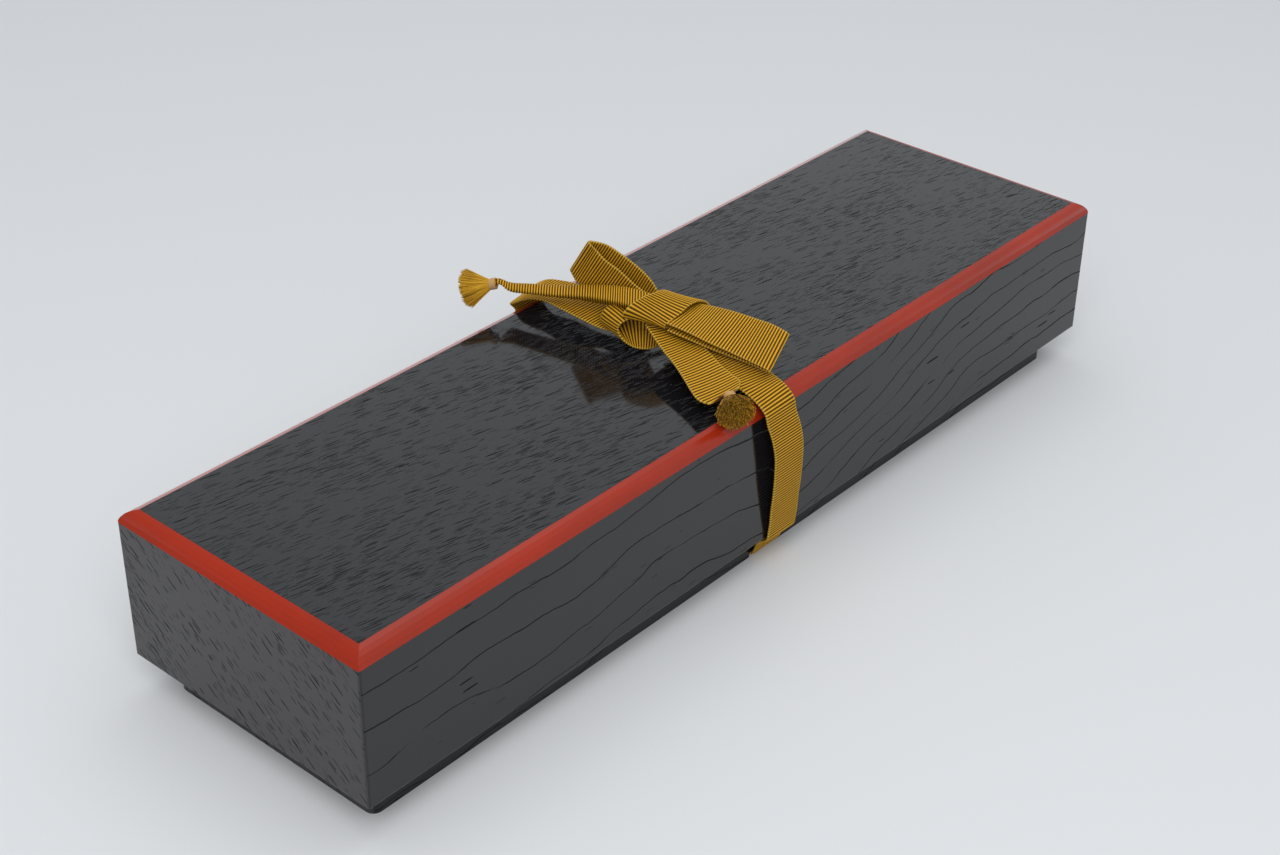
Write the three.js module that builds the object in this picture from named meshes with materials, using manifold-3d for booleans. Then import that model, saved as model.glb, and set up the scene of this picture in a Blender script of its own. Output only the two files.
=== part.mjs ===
// A long lacquered box for poetry slips, tied with a ribbon.
// A deep lid of grained, mitred boards with a red bevelled edging drops over a mitred tray almost to the table.
// One ribbon runs under the tray, up both long sides and is tied on the lid in a bow with two tasselled ends.
// Millimetres, +Z up. The origin is the centre of the tray's footprint, X runs along the box, the front is -Y.

import * as THREE from "three";
import { mergeVertices } from "three/addons/utils/BufferGeometryUtils.js";
import Module from "manifold-3d";

const wasm = await Module();
wasm.setup();

// Driving dimensions
const lidLength = 400;
const lidWidth = 113.5;
const totalHeight = 72;
const rimHeight = 14; // the lid's lower edge above the table
const lidWall = 8;
const lidClearance = 1; // all round, between the lid's walls and the tray
const panelThickness = 6;
const bevelRun = 5.4; // the red edging's bevel, seen from above
const bevelDrop = 4.6; // and its fall
const bevelCrown = 1.1; // how far its rounded face stands off a flat one
const trayWall = 6.5;
const trayCornerRadius = 3.5;
const bottomThickness = 5;
const bottomRise = 3; // the bottom board's underside above the table
const bottomTongue = 3; // how deep the bottom board enters the walls
const boardFit = 0.2; // round the bottom board's edge
const ribbonWidth = 15.5;
const ribbonThickness = 0.8;
const notchHeight = 2.2; // in the lower edge of the tray's long walls, for the ribbon
const notchClearance = 0.75; // at each side of the ribbon
const underRunShift = 3; // how far the ribbon under the tray, and its notches, stand towards +X

// Small sizes of the joinery
const lidArris = 1; // rounding of the lid's upright corners
const rimArris = 0.9; // rounding of the lid's lower edge
const trayArris = 1.2; // rounding of the tray's upper edge
const keyThickness = 2;
const keyWidth = 7;
const keyStop = 6; // from the key's ends to the ends of the mitre
const keyFit = 0.15;
const keyDepthShare = 0.56; // of the wall, from the outer face to the key's middle
const cutOverrun = 2; // how far a cutting body passes the face that it opens
const arrisSteps = 4;
const cornerSteps = 6;

// Small sizes of the ribbon's bindings and tassels
const threadDiameter = 0.6;
const threadPitch = 1.05;
const threadTurns = 4;
const threadSteps = 4; // points of the outline in each turn
const threadBulgeShare = 0.5;
const bindingRadius = 1.55; // inside, round the gathered ribbon
const bindingSides = 20;
const tasselLength = 11.8;
const tasselNeckRadius = 1.45;
const frontTasselRadius = 6.9;
const rearTasselRadius = 5.7;
const tasselStartShare = 0.1; // of the binding's length, from its middle to the tassel's neck
const tasselHollowShare = 0.09; // how deep the cut ends dip in the middle
const strandsRound = 28;
const strandReliefShare = 0.14; // depth of the dips between strands, of the radius
const tasselOutlineShares = [
  [0, 0],
  [0, 0.14],
  [0.28, 0.24],
  [0.62, 0.45],
  [0.86, 0.72],
  [1, 0.96],
  [0.93, 1],
];

// Levels and half sizes that follow
const halfLength = lidLength / 2;
const halfWidth = lidWidth / 2;
const ceiling = totalHeight - panelThickness; // the panel's underside, and the tray's upper edge
const edgingFoot = totalHeight - bevelDrop; // the bevel's lower edge
const trayInset = lidWall + lidClearance;
const trayHalfLength = halfLength - trayInset;
const trayHalfWidth = halfWidth - trayInset;
const lidSide = totalHeight - rimHeight;

// Finishes
const blackGrain = new THREE.MeshStandardMaterial({ color: 0x17171a, roughness: 0.28 });
const blackPlain = new THREE.MeshStandardMaterial({ color: 0x131214, roughness: 0.35 });
const redLacquer = new THREE.MeshStandardMaterial({ color: 0xa33122, roughness: 0.32 });
const keyWood = new THREE.MeshStandardMaterial({ color: 0xb58a5a, roughness: 0.7 });
const ribbonSilk = new THREE.MeshStandardMaterial({ color: 0xb07d1c, roughness: 0.6 });
const bindingThread = new THREE.MeshStandardMaterial({ color: 0xd6a777, roughness: 0.6 });
const tasselSilk = new THREE.MeshStandardMaterial({ color: 0xa8761c, roughness: 0.75 });

const root = new THREE.Group();

// Adds a named mesh of one sub-part.
function add(name, geometry, material) {
  const mesh = new THREE.Mesh(geometry, material);
  mesh.name = name;
  root.add(mesh);
}

// The solid of a closed geometry, for cutting and joining.
function solidOf(geometry) {
  const plain = geometry.index ? geometry.toNonIndexed() : geometry.clone();
  const bare = new THREE.BufferGeometry().setAttribute("position", plain.getAttribute("position"));
  const merged = mergeVertices(bare, ribbonThickness * 1e-3);
  return new wasm.Manifold(
    new wasm.Mesh({
      numProp: 3,
      vertProperties: merged.attributes.position.array,
      triVerts: new Uint32Array(merged.index.array),
    }),
  );
}

// The geometry of a solid.
function geometryOf(solid) {
  const mesh = solid.getMesh();
  const geometry = new THREE.BufferGeometry();
  geometry.setAttribute("position", new THREE.BufferAttribute(mesh.vertProperties.slice(), 3));
  geometry.setIndex(new THREE.BufferAttribute(mesh.triVerts.slice(), 1));
  geometry.computeVertexNormals();
  return geometry;
}

// A closed geometry from vertices and quads or triangles, listed anticlockwise from outside.
function geometryFrom(vertices, faces) {
  const index = [];
  for (const face of faces) {
    for (let i = 1; i + 1 < face.length; i += 1) index.push(face[0], face[i], face[i + 1]);
  }
  const geometry = new THREE.BufferGeometry();
  geometry.setAttribute("position", new THREE.Float32BufferAttribute(vertices.flat(), 3));
  geometry.setIndex(index);
  geometry.computeVertexNormals();
  return geometry;
}

// A quarter round of a section, from one tangent point to the other.
function quarterRound(centre, radius, fromAngle, steps) {
  const points = [];
  for (let i = 0; i <= steps; i += 1) {
    const angle = fromAngle + (Math.PI / 2) * (i / steps);
    points.push([centre[0] + radius * Math.cos(angle), centre[1] + radius * Math.sin(angle)]);
  }
  return points;
}

// The four corners of a frame in order, as the signs of X and Y: rail n runs from corner n to corner n + 1.
const cornerSigns = [
  [-1, -1],
  [1, -1],
  [1, 1],
  [-1, 1],
];
const railNames = ["front", "right", "rear", "left"];

// One rail of a mitred frame. The section is a list of [distance in from the outer face, height],
// anticlockwise with the distance to the right. Neighbouring rails share the vertices of their mitre.
function mitredRail(rail, halfX, halfY, section) {
  const ends = [cornerSigns[rail], cornerSigns[(rail + 1) % 4]];
  const count = section.length;
  const vertices = ends.flatMap(([signX, signY]) =>
    section.map(([inward, z]) => [signX * (halfX - inward), signY * (halfY - inward), z]),
  );
  const contour = section.map(([inward, z]) => new THREE.Vector2(inward, z));
  const cap = THREE.ShapeUtils.triangulateShape(contour, []);
  const faces = section.map((point, i) => {
    const next = (i + 1) % count;
    return [i, next, next + count, i + count];
  });
  cap.forEach(([a, b, c]) => faces.push([c, b, a], [a + count, b + count, c + count]));
  return geometryFrom(vertices, faces);
}

// A block between two levels whose sides stand a distance in from a frame's outer faces.
function slab(halfX, halfY, inward, low, high) {
  const x = halfX - inward;
  const y = halfY - inward;
  const vertices = [low, high].flatMap((z) => cornerSigns.map(([signX, signY]) => [signX * x, signY * y, z]));
  const faces = [
    [3, 2, 1, 0],
    [4, 5, 6, 7],
  ];
  for (let i = 0; i < 4; i += 1) faces.push([i, (i + 1) % 4, ((i + 1) % 4) + 4, i + 4]);
  return geometryFrom(vertices, faces);
}

// What a rounded upright corner takes away from a square one, in all the height of a frame.
function cornerWaste(corner, halfX, halfY, radius, low, high) {
  const [signX, signY] = cornerSigns[corner];
  const outline = new THREE.Shape();
  outline.moveTo(-cutOverrun, -cutOverrun);
  outline.lineTo(radius, -cutOverrun);
  outline.lineTo(radius, 0);
  quarterRound([radius, radius], radius, -Math.PI / 2, cornerSteps)
    .map(([x, y]) => [2 * radius - x, y])
    .slice(1)
    .forEach(([x, y]) => outline.lineTo(x, y));
  outline.lineTo(-cutOverrun, radius);
  outline.closePath();
  const depth = high - low + 2 * cutOverrun;
  const geometry = new THREE.ExtrudeGeometry(outline, { depth, bevelEnabled: false, curveSegments: 1 });
  geometry.translate(-halfX, -halfY, low - cutOverrun);
  return solidOf(geometry).scale([-signX, -signY, 1]);
}

// The hidden key of a mitre, or its mortise when grown by a fit: a plate across the mitre.
function mitreKey(corner, halfX, halfY, wall, low, high, fit) {
  const [signX, signY] = cornerSigns[corner];
  const reach = halfX - wall * keyDepthShare;
  const side = halfY - wall * keyDepthShare;
  const height = high - low - 2 * keyStop;
  const plate = new THREE.BoxGeometry(keyWidth + 2 * fit, keyThickness + 2 * fit, height + 2 * fit);
  plate.rotateZ(signX * signY > 0 ? -Math.PI / 4 : Math.PI / 4);
  plate.translate(signX * reach, signY * side, (low + high) / 2);
  return plate;
}

// A mitred frame: four rails with rounded upright corners, and the keys hidden in its mitres.
function keyedFrame(prefix, { halfX, halfY, wall, section, cornerRadius, low, high, keyLow, keyHigh, cuts }) {
  const mortises = cornerSigns.map((_, c) =>
    solidOf(mitreKey(c, halfX, halfY, wall, keyLow, keyHigh, keyFit)),
  );
  const wastes = cornerSigns.map((_, c) => cornerWaste(c, halfX, halfY, cornerRadius, low, high));
  railNames.forEach((name, rail) => {
    let solid = solidOf(mitredRail(rail, halfX, halfY, section));
    for (const corner of [rail, (rail + 1) % 4]) solid = solid.subtract(mortises[corner]).subtract(wastes[corner]);
    for (const cut of cuts[name] ?? []) solid = solid.subtract(cut);
    add(prefix + "_" + name + "_wall", geometryOf(solid), blackGrain);
  });
  cornerSigns.forEach((_, c) => {
    const name = prefix + "_mitre_key_" + railNames[(c + 3) % 4] + "_" + railNames[c];
    add(name, mitreKey(c, halfX, halfY, wall, keyLow, keyHigh, 0), keyWood);
  });
}

// The edging's rounded face in its section, from the upper edge towards the lower one
function crownedFace(steps) {
  const chord = Math.hypot(bevelRun, bevelDrop);
  const points = [];
  for (let i = 0; i < steps; i += 1) {
    const share = i / steps;
    const crown = (4 * bevelCrown * share * (1 - share)) / chord;
    points.push([bevelRun * (1 - share) - bevelDrop * crown, totalHeight - bevelDrop * share + bevelRun * crown]);
  }
  return points;
}

// The lid: walls with a rebate for the panel, the grained panel, and the red edging planted round it
function buildLid() {
  const wallSection = [
    ...quarterRound([rimArris, rimHeight + rimArris], rimArris, Math.PI, arrisSteps),
    [lidWall, rimHeight],
    [lidWall, ceiling],
    [bevelRun, ceiling],
    [bevelRun, edgingFoot],
    [0, edgingFoot],
  ];
  keyedFrame("lid", {
    halfX: halfLength,
    halfY: halfWidth,
    wall: lidWall,
    section: wallSection,
    cornerRadius: lidArris,
    low: rimHeight,
    high: totalHeight,
    keyLow: rimHeight,
    keyHigh: ceiling,
    cuts: {},
  });
  add("lid_panel", slab(halfLength, halfWidth, bevelRun, ceiling, totalHeight), blackGrain);
  const edgingSection = [[0, edgingFoot], [bevelRun, edgingFoot], ...crownedFace(arrisSteps)];
  railNames.forEach((name, rail) => {
    let solid = solidOf(mitredRail(rail, halfLength, halfWidth, edgingSection));
    for (const corner of [rail, (rail + 1) % 4]) {
      const waste = cornerWaste(corner, halfLength, halfWidth, lidArris, rimHeight, totalHeight);
      solid = solid.subtract(waste);
    }
    add("lid_edging_" + name, geometryOf(solid), redLacquer);
  });
}

// The tray: walls grooved for the bottom board and notched below for the ribbon
function buildTray() {
  const grooveLow = bottomRise - boardFit;
  const grooveHigh = bottomRise + bottomThickness + boardFit;
  const grooveFace = trayWall - bottomTongue - boardFit;
  const wallSection = [
    [0, 0],
    [trayWall, 0],
    [trayWall, grooveLow],
    [grooveFace, grooveLow],
    [grooveFace, grooveHigh],
    [trayWall, grooveHigh],
    ...quarterRound([trayWall - trayArris, ceiling - trayArris], trayArris, 0, arrisSteps),
    ...quarterRound([trayArris, ceiling - trayArris], trayArris, Math.PI / 2, arrisSteps),
  ];
  const notchWidth = ribbonWidth + 2 * notchClearance;
  const notch = new THREE.BoxGeometry(notchWidth, lidWidth, 2 * notchHeight);
  notch.translate(underRunShift, 0, 0);
  keyedFrame("tray", {
    halfX: trayHalfLength,
    halfY: trayHalfWidth,
    wall: trayWall,
    section: wallSection,
    cornerRadius: trayCornerRadius,
    low: 0,
    high: ceiling,
    keyLow: bottomRise + bottomThickness,
    keyHigh: ceiling,
    cuts: { front: [solidOf(notch)], rear: [solidOf(notch)] },
  });
  const boardInset = trayWall - bottomTongue;
  const boardTop = bottomRise + bottomThickness;
  add("tray_bottom", slab(trayHalfLength, trayHalfWidth, boardInset, bottomRise, boardTop), blackPlain);
}

// A length of ribbon through stations. A station lists the points of the ribbon's section there, from one
// selvedge to the other, and smooth curves run through the same points of all the stations.
function ribbonStrip(stations, stepsBetween) {
  const width = stations[0].length;
  const curves = stations[0].map((_, k) => smoothCurve(stations.map((station) => station[k])));
  const count = (stations.length - 1) * stepsBetween;
  const vertices = [];
  for (let i = 0; i <= count; i += 1) {
    const points = curves.map((curve) => curve.getPoint(i / count));
    const before = curves.map((curve) => curve.getPoint(Math.max(0, i - 1) / count));
    const after = curves.map((curve) => curve.getPoint(Math.min(count, i + 1) / count));
    const normals = points.map((_, k) => {
      const across = points[Math.min(k + 1, width - 1)].clone().sub(points[Math.max(k - 1, 0)]);
      const along = after[k].clone().sub(before[k]);
      return across.cross(along).normalize();
    });
    const half = ribbonThickness / 2;
    const lower = points.map((point, k) => point.clone().addScaledVector(normals[k], -half).toArray());
    const upper = points.map((point, k) => point.clone().addScaledVector(normals[k], half).toArray());
    vertices.push(...lower, ...upper.reverse());
  }
  const ring = 2 * width;
  const start = [];
  for (let k = 0; k + 1 < width; k += 1) start.push([k, k + 1, ring - 2 - k, ring - 1 - k]);
  const faces = [...start, ...start.map((face) => face.map((i) => i + ring * count).reverse())];
  for (let i = 0; i < count; i += 1) {
    for (let k = 0; k < ring; k += 1) {
      const next = (k + 1) % ring;
      faces.push([k + ring * i, k + ring * (i + 1), next + ring * (i + 1), next + ring * i]);
    }
  }
  return geometryFrom(vertices, faces);
}

function smoothCurve(points) {
  return new THREE.CatmullRomCurve3(points, false, "centripetal");
}

// Stations of the bow, from rows of shares: X, Y and height above the centre of the lid's top, point by point.
// X and height are shares of the ribbon's width, and Y of the length that is given.
function bowStations(shares, lengthOfY) {
  return shares.map((row) => {
    const points = [];
    for (let k = 0; k < row.length; k += 3) {
      const x = row[k] * ribbonWidth;
      const z = totalHeight + row[k + 2] * ribbonWidth;
      points.push(new THREE.Vector3(x, row[k + 1] * lengthOfY, z));
    }
    return points;
  });
}

// The ribbon's two lengths over the lid, from the knot over the edge. Y is in shares of the lid's half width.
const rearLidRunShares = [
  [-0.923, 1.066, -0.352, 0.077, 1.066, -0.352],
  [-1.045, 1.063, -0.103, -0.052, 1.066, 0.013],
  [-1.2, 1.015, 0.077, -0.245, 0.997, 0.323],
  [-1.219, 0.944, 0.077, -0.284, 0.909, 0.413],
  [-1.09, 0.878, 0.052, -0.142, 0.832, 0.426],
  [-0.813, 0.782, 0.052, 0.116, 0.768, 0.413],
  [-0.781, 0.515, 0.09, 0.155, 0.511, 0.439],
  [-0.858, 0.3, 0.181, 0.077, 0.247, 0.477],
  [-0.903, 0.159, 0.297, -0.032, 0.097, 0.49],
];
const frontLidRunShares = [
  [-0.452, -0.115, 0.387, 0.477, -0.167, 0.516],
  [-0.4, -0.352, 0.461, 0.568, -0.388, 0.516],
  [-0.6, -0.592, 0.348, 0.374, -0.626, 0.4],
  [-0.897, -0.807, 0.245, 0.09, -0.856, 0.245],
  [-0.955, -0.911, 0.194, 0.045, -0.922, 0.213],
  [-1, -0.999, 0.097, -0.006, -0.996, 0.155],
  [-1.006, -1.052, -0.065, -0.013, -1.056, -0.026],
  [-0.952, -1.066, -0.352, 0.048, -1.066, -0.352],
];

// The bow's own lengths, all in ribbon widths
const knotWrapShares = [
  [0.413, 0.032, 0.548, 0.735, -0.774, 0.374],
  [0.31, -0.039, 0.865, 0.697, -0.839, 0.658],
  [0.052, -0.116, 1.187, 0.581, -0.903, 0.929],
  [-0.258, -0.206, 1.419, 0.361, -0.942, 1.148],
  [-0.581, -0.258, 1.523, 0.103, -0.942, 1.265],
  [-0.813, -0.129, 1.471, -0.142, -0.897, 1.239],
  [-1.026, 0.019, 1.348, -0.432, -0.845, 1.11],
  [-1.206, 0.103, 1.187, -0.716, -0.723, 0.942],
  [-1.252, 0.168, 1.026, -0.748, -0.671, 0.832],
  [-1.148, 0.181, 0.955, -0.632, -0.645, 0.774],
];
const halfKnotShares = [
  [-0.742, 0.097, 0.787, -0.613, 0.813, 0.839],
  [-1, 0.194, 0.813, -0.839, 0.89, 0.865],
  [-1.174, 0.284, 0.735, -1.006, 0.955, 0.761],
  [-1.219, 0.323, 0.568, -1.045, 1.006, 0.529],
  [-1.181, 0.219, 0.374, -1, 0.877, 0.297],
  [-1.071, -0.026, 0.206, -0.671, 0.516, 0.155],
  [-0.852, -0.239, 0.142, -0.232, 0.2, 0.284],
  [-0.581, -0.335, 0.135, 0.097, 0.097, 0.323],
  [-0.206, -0.4, 0.168, 0.348, -0.077, 0.329],
];
const frontLoopShares = [
  [-0.774, -0.774, 0.981, 0.213, -0.8, 1.097],
  [-0.703, -1.323, 0.935, 0.271, -1.252, 1.168],
  [-0.613, -1.852, 0.839, 0.303, -1.826, 1.239],
  [-0.445, -2.381, 0.71, 0.419, -2.361, 1.213],
  [-0.335, -2.89, 0.613, 0.445, -2.852, 1.232],
  [-0.284, -3.239, 0.561, 0.516, -3.129, 1.148],
  [-0.259, -3.298, 0.529, 0.541, -3.188, 1.116],
  [-0.224, -3.31, 0.48, 0.576, -3.2, 1.067],
  [-0.199, -3.268, 0.442, 0.601, -3.158, 1.029],
  [-0.2, -3.196, 0.439, 0.6, -3.086, 1.026],
  [-0.219, -2.852, 0.463, 0.562, -2.813, 1.083],
  [-0.338, -2.338, 0.523, 0.527, -2.318, 1.027],
  [-0.522, -1.817, 0.628, 0.394, -1.791, 1.028],
  [-0.653, -1.317, 0.722, 0.321, -1.246, 0.954],
  [-0.752, -0.776, 0.788, 0.235, -0.802, 0.905],
];
const rearLoopShares = [
  [-0.374, 0.67, 0.45, -0.296, 0.218, 1.16],
  [-0.425, 1.031, 0.612, -0.348, 0.579, 1.315],
  [-0.541, 1.483, 0.786, -0.438, 1.018, 1.586],
  [-0.685, 1.824, 0.947, -0.563, 1.333, 1.786],
  [-0.817, 1.993, 1.091, -0.636, 1.534, 1.995],
  [-0.864, 2.084, 1.288, -0.761, 1.594, 2.165],
  [-0.812, 2.168, 1.307, -0.703, 1.684, 2.184],
  [-0.696, 2.136, 1.288, -0.606, 1.632, 2.159],
  [-0.49, 1.929, 1.184, -0.387, 1.426, 2.062],
  [-0.335, 1.581, 1.029, -0.232, 1.103, 1.868],
  [-0.189, 1.118, 0.836, -0.124, 0.666, 1.636],
  [-0.133, 0.758, 0.643, -0.055, 0.358, 1.405],
  [-0.124, 0.559, 0.482, -0.034, 0.159, 1.179],
];

// The front tail lies spread, and the rear one is folded lengthwise, so its section has a point at the fold.
const frontTailShares = [
  [-0.877, -0.219, 0.774, -0.206, -0.297, 0.606],
  [-1.265, -0.994, 0.677, -0.297, -0.994, 0.548],
  [-1.548, -1.677, 0.581, -0.555, -1.774, 0.581],
  [-1.781, -2.155, 0.497, -0.8, -2.374, 0.542],
  [-1.974, -2.516, 0.439, -0.916, -2.787, 0.51],
  [-2.11, -2.8, 0.419, -0.955, -3.026, 0.49],
  [-2.129, -2.994, 0.419, -1.052, -3.155, 0.484],
  [-2.045, -3.135, 0.426, -1.219, -3.232, 0.477],
  [-1.845, -3.161, 0.439, -1.381, -3.258, 0.471],
  [-1.694, -3.158, 0.452, -1.477, -3.258, 0.471],
  [-1.639, -3.223, 0.458, -1.539, -3.277, 0.465],
  [-1.69, -3.332, 0.455, -1.594, -3.381, 0.461],
];
const rearTailShares = [
  [-0.718, -0.222, 1.084, -0.386, 0.059, 1.283, -0.737, -0.251, 1.187],
  [-0.847, 0.242, 1.071, -0.489, 0.549, 1.283, -0.867, 0.226, 1.174],
  [-0.908, 0.893, 0.994, -0.575, 1.179, 1.165, -0.928, 0.877, 1.097],
  [-1.04, 1.57, 0.897, -0.766, 1.805, 1.026, -1.06, 1.554, 1],
  [-1.266, 2.17, 0.8, -1.04, 2.363, 0.919, -1.285, 2.154, 0.903],
  [-1.475, 2.793, 0.723, -1.284, 2.957, 0.84, -1.495, 2.777, 0.826],
  [-1.663, 3.361, 0.671, -1.526, 3.479, 0.785, -1.683, 3.344, 0.774],
  [-1.658, 3.588, 0.724, -1.614, 3.626, 0.834, -1.727, 3.529, 0.831],
  [-1.667, 3.684, 0.751, -1.691, 3.663, 0.825, -1.753, 3.61, 0.799],
  [-1.729, 3.797, 0.714, -1.756, 3.774, 0.781, -1.815, 3.724, 0.755],
];

// The two side runs: X and stand-off from the lid's side in ribbon widths, height as a share of the lid's side
const frontSideRunShares = [
  [-0.45, 0.24, 0.9],
  [-0.32, 0.285, 0.79],
  [-0.21, 0.305, 0.66],
  [-0.15, 0.28, 0.53],
  [-0.11, 0.23, 0.36],
  [-0.08, 0.17, 0.24],
  [-0.04, 0.12, 0.12],
  [-0.02, 0.07, 0.03],
];
const rearSideRunShares = [
  [-0.42, 0.24, 0.9],
  [-0.36, 0.29, 0.79],
  [-0.3, 0.3, 0.66],
  [-0.22, 0.27, 0.53],
  [-0.15, 0.22, 0.36],
  [-0.1, 0.16, 0.24],
  [-0.05, 0.11, 0.12],
  [-0.02, 0.07, 0.03],
];

// A side run hangs between the lid's upper edge and its rim, a little off the wood.
function sideRunStations(shares, sign) {
  return shares.map(([x, standOff, level]) => {
    const y = sign * (halfWidth + standOff * ribbonWidth);
    return levelStation(x * ribbonWidth, y, rimHeight + level * lidSide);
  });
}

// A station with the ribbon lying level across, by its middle.
function levelStation(x, y, z) {
  return [new THREE.Vector3(x - ribbonWidth / 2, y, z), new THREE.Vector3(x + ribbonWidth / 2, y, z)];
}

// The ribbon under the tray. Between the lid's rim and the tray's foot it crosses the gap beside the tray:
// shares of the way from the lid's face to the tray's, and of the height between the notch and the rim.
const turnShares = [
  [-0.12, 1.11],
  [-0.09, 0.98],
  [0.1, 0.84],
  [0.34, 0.74],
  [0.6, 0.52],
  [0.76, 0.26],
  [0.9, 0.07],
];
function underRunStations() {
  const lying = notchHeight / 2;
  const oneSide = turnShares.map(([way, level]) => [
    halfWidth - way * trayInset,
    lying + level * (rimHeight - lying),
  ]);
  oneSide.push([trayHalfWidth - trayWall / 2, lying], [trayHalfWidth - trayWall - ribbonWidth, lying]);
  const middles = [...oneSide, ...oneSide.map(([y, z]) => [-y, z]).reverse()];
  return middles.map(([y, z]) => levelStation(underRunShift * Math.min(1, (halfWidth - Math.abs(y)) / trayInset), y, z));
}

// The thread that binds a gathered end: a ring whose outside shows its turns
function bindingThreadRing() {
  const length = threadTurns * threadPitch;
  const profile = [];
  for (let i = 0; i <= threadTurns * threadSteps; i += 1) {
    const angle = (2 * Math.PI * i) / threadSteps;
    const bulge = (threadDiameter / 2) * (1 - Math.cos(angle)) * threadBulgeShare;
    profile.push([bindingRadius + threadDiameter / 2 + bulge, (i / (threadTurns * threadSteps) - 0.5) * length]);
  }
  profile.push([bindingRadius, length / 2], [bindingRadius, -length / 2]);
  const count = profile.length;
  const vertices = [];
  const faces = [];
  for (let a = 0; a < bindingSides; a += 1) {
    const angle = (2 * Math.PI * a) / bindingSides;
    profile.forEach(([r, z]) => vertices.push([r * Math.cos(angle), r * Math.sin(angle), z]));
    const following = (a + 1) % bindingSides;
    for (let k = 0; k < count; k += 1) {
      const next = (k + 1) % count;
      faces.push([k + a * count, k + following * count, next + following * count, next + a * count]);
    }
  }
  return geometryFrom(vertices, faces);
}

// A tassel along +Z from its neck: rings of strands that spread from the neck to the cut ends
function tasselBrush(endRadius) {
  const rings = tasselOutlineShares.map(([radiusShare, lengthShare]) => [
    tasselNeckRadius + radiusShare * (endRadius - tasselNeckRadius),
    lengthShare * tasselLength,
  ]);
  const count = 2 * strandsRound;
  const vertices = [[0, 0, 0]];
  rings.forEach(([radius, z]) => {
    for (let a = 0; a < count; a += 1) {
      const angle = (Math.PI * a) / strandsRound;
      const r = a % 2 === 0 ? radius : radius * (1 - strandReliefShare);
      vertices.push([r * Math.cos(angle), r * Math.sin(angle), z]);
    }
  });
  vertices.push([0, 0, rings[rings.length - 1][1] - tasselHollowShare * tasselLength]);
  const faces = [];
  for (let a = 0; a < count; a += 1) {
    const next = (a + 1) % count;
    faces.push([0, 1 + next, 1 + a]);
    rings.slice(1).forEach((_, k) => {
      const below = 1 + k * count;
      const above = below + count;
      faces.push([below + a, below + next, above + next, above + a]);
    });
    const last = 1 + (rings.length - 1) * count;
    faces.push([vertices.length - 1, last + a, last + next]);
  }
  return geometryFrom(vertices, faces);
}

// Turns a form made along +Z into a direction and moves it to a place given like the bow's stations.
function placed(geometry, place, direction) {
  const along = new THREE.Vector3(...direction).normalize();
  geometry.applyQuaternion(new THREE.Quaternion().setFromUnitVectors(new THREE.Vector3(0, 0, 1), along));
  const at = new THREE.Vector3(...place).multiplyScalar(ribbonWidth);
  geometry.translate(at.x, at.y, at.z + totalHeight);
  return geometry;
}

// Where the tails are bound, and the directions of their tassels
const frontBindingShares = [-1.652, -3.374, 0.458];
const frontTasselDirectionShares = [-0.45, -0.89, -0.03];
const rearBindingShares = [-1.774, 3.774, 0.742];
const rearTasselDirectionShares = [-0.46, 0.84, -0.3];

function addTassel(name, bindingPlace, direction, endRadius) {
  const along = new THREE.Vector3(...direction).normalize();
  add("binding_thread_" + name, placed(bindingThreadRing(), bindingPlace, direction), bindingThread);
  const ahead = along.multiplyScalar((threadTurns * threadPitch * tasselStartShare) / ribbonWidth);
  const neck = new THREE.Vector3(...bindingPlace).add(ahead).toArray();
  add("tassel_" + name, placed(tasselBrush(endRadius), neck, direction), tasselSilk);
}

function buildRibbon() {
  const addStrip = (name, stations, steps) => add("ribbon_" + name, ribbonStrip(stations, steps), ribbonSilk);
  addStrip("under_run", underRunStations(), 2);
  addStrip("front_side_run", sideRunStations(frontSideRunShares, -1), 2);
  addStrip("rear_side_run", sideRunStations(rearSideRunShares, 1), 2);
  addStrip("front_lid_run", bowStations(frontLidRunShares, halfWidth), 3);
  addStrip("rear_lid_run", bowStations(rearLidRunShares, halfWidth), 3);
  addStrip("knot_wrap", bowStations(knotWrapShares, ribbonWidth), 3);
  addStrip("half_knot", bowStations(halfKnotShares, ribbonWidth), 3);
  addStrip("front_loop", bowStations(frontLoopShares, ribbonWidth), 3);
  addStrip("rear_loop", bowStations(rearLoopShares, ribbonWidth), 3);
  addStrip("front_tail", bowStations(frontTailShares, ribbonWidth), 3);
  addStrip("rear_tail", bowStations(rearTailShares, ribbonWidth), 3);
  addTassel("front", frontBindingShares, frontTasselDirectionShares, frontTasselRadius);
  addTassel("rear", rearBindingShares, rearTasselDirectionShares, rearTasselRadius);
}

buildLid();
buildTray();
buildRibbon();

export default root;
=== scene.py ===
"""Poetry slip box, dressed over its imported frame.

Black lacquer over open-grained wood, a red bevelled edging round the lid, and one
length of mustard grosgrain tied round the box in a bow, with bound and tasselled ends.
"""

import logging
import math
import random
from collections.abc import Callable
from dataclasses import dataclass, field
from enum import Enum

import bpy
from mathutils import Matrix, Vector


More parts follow.
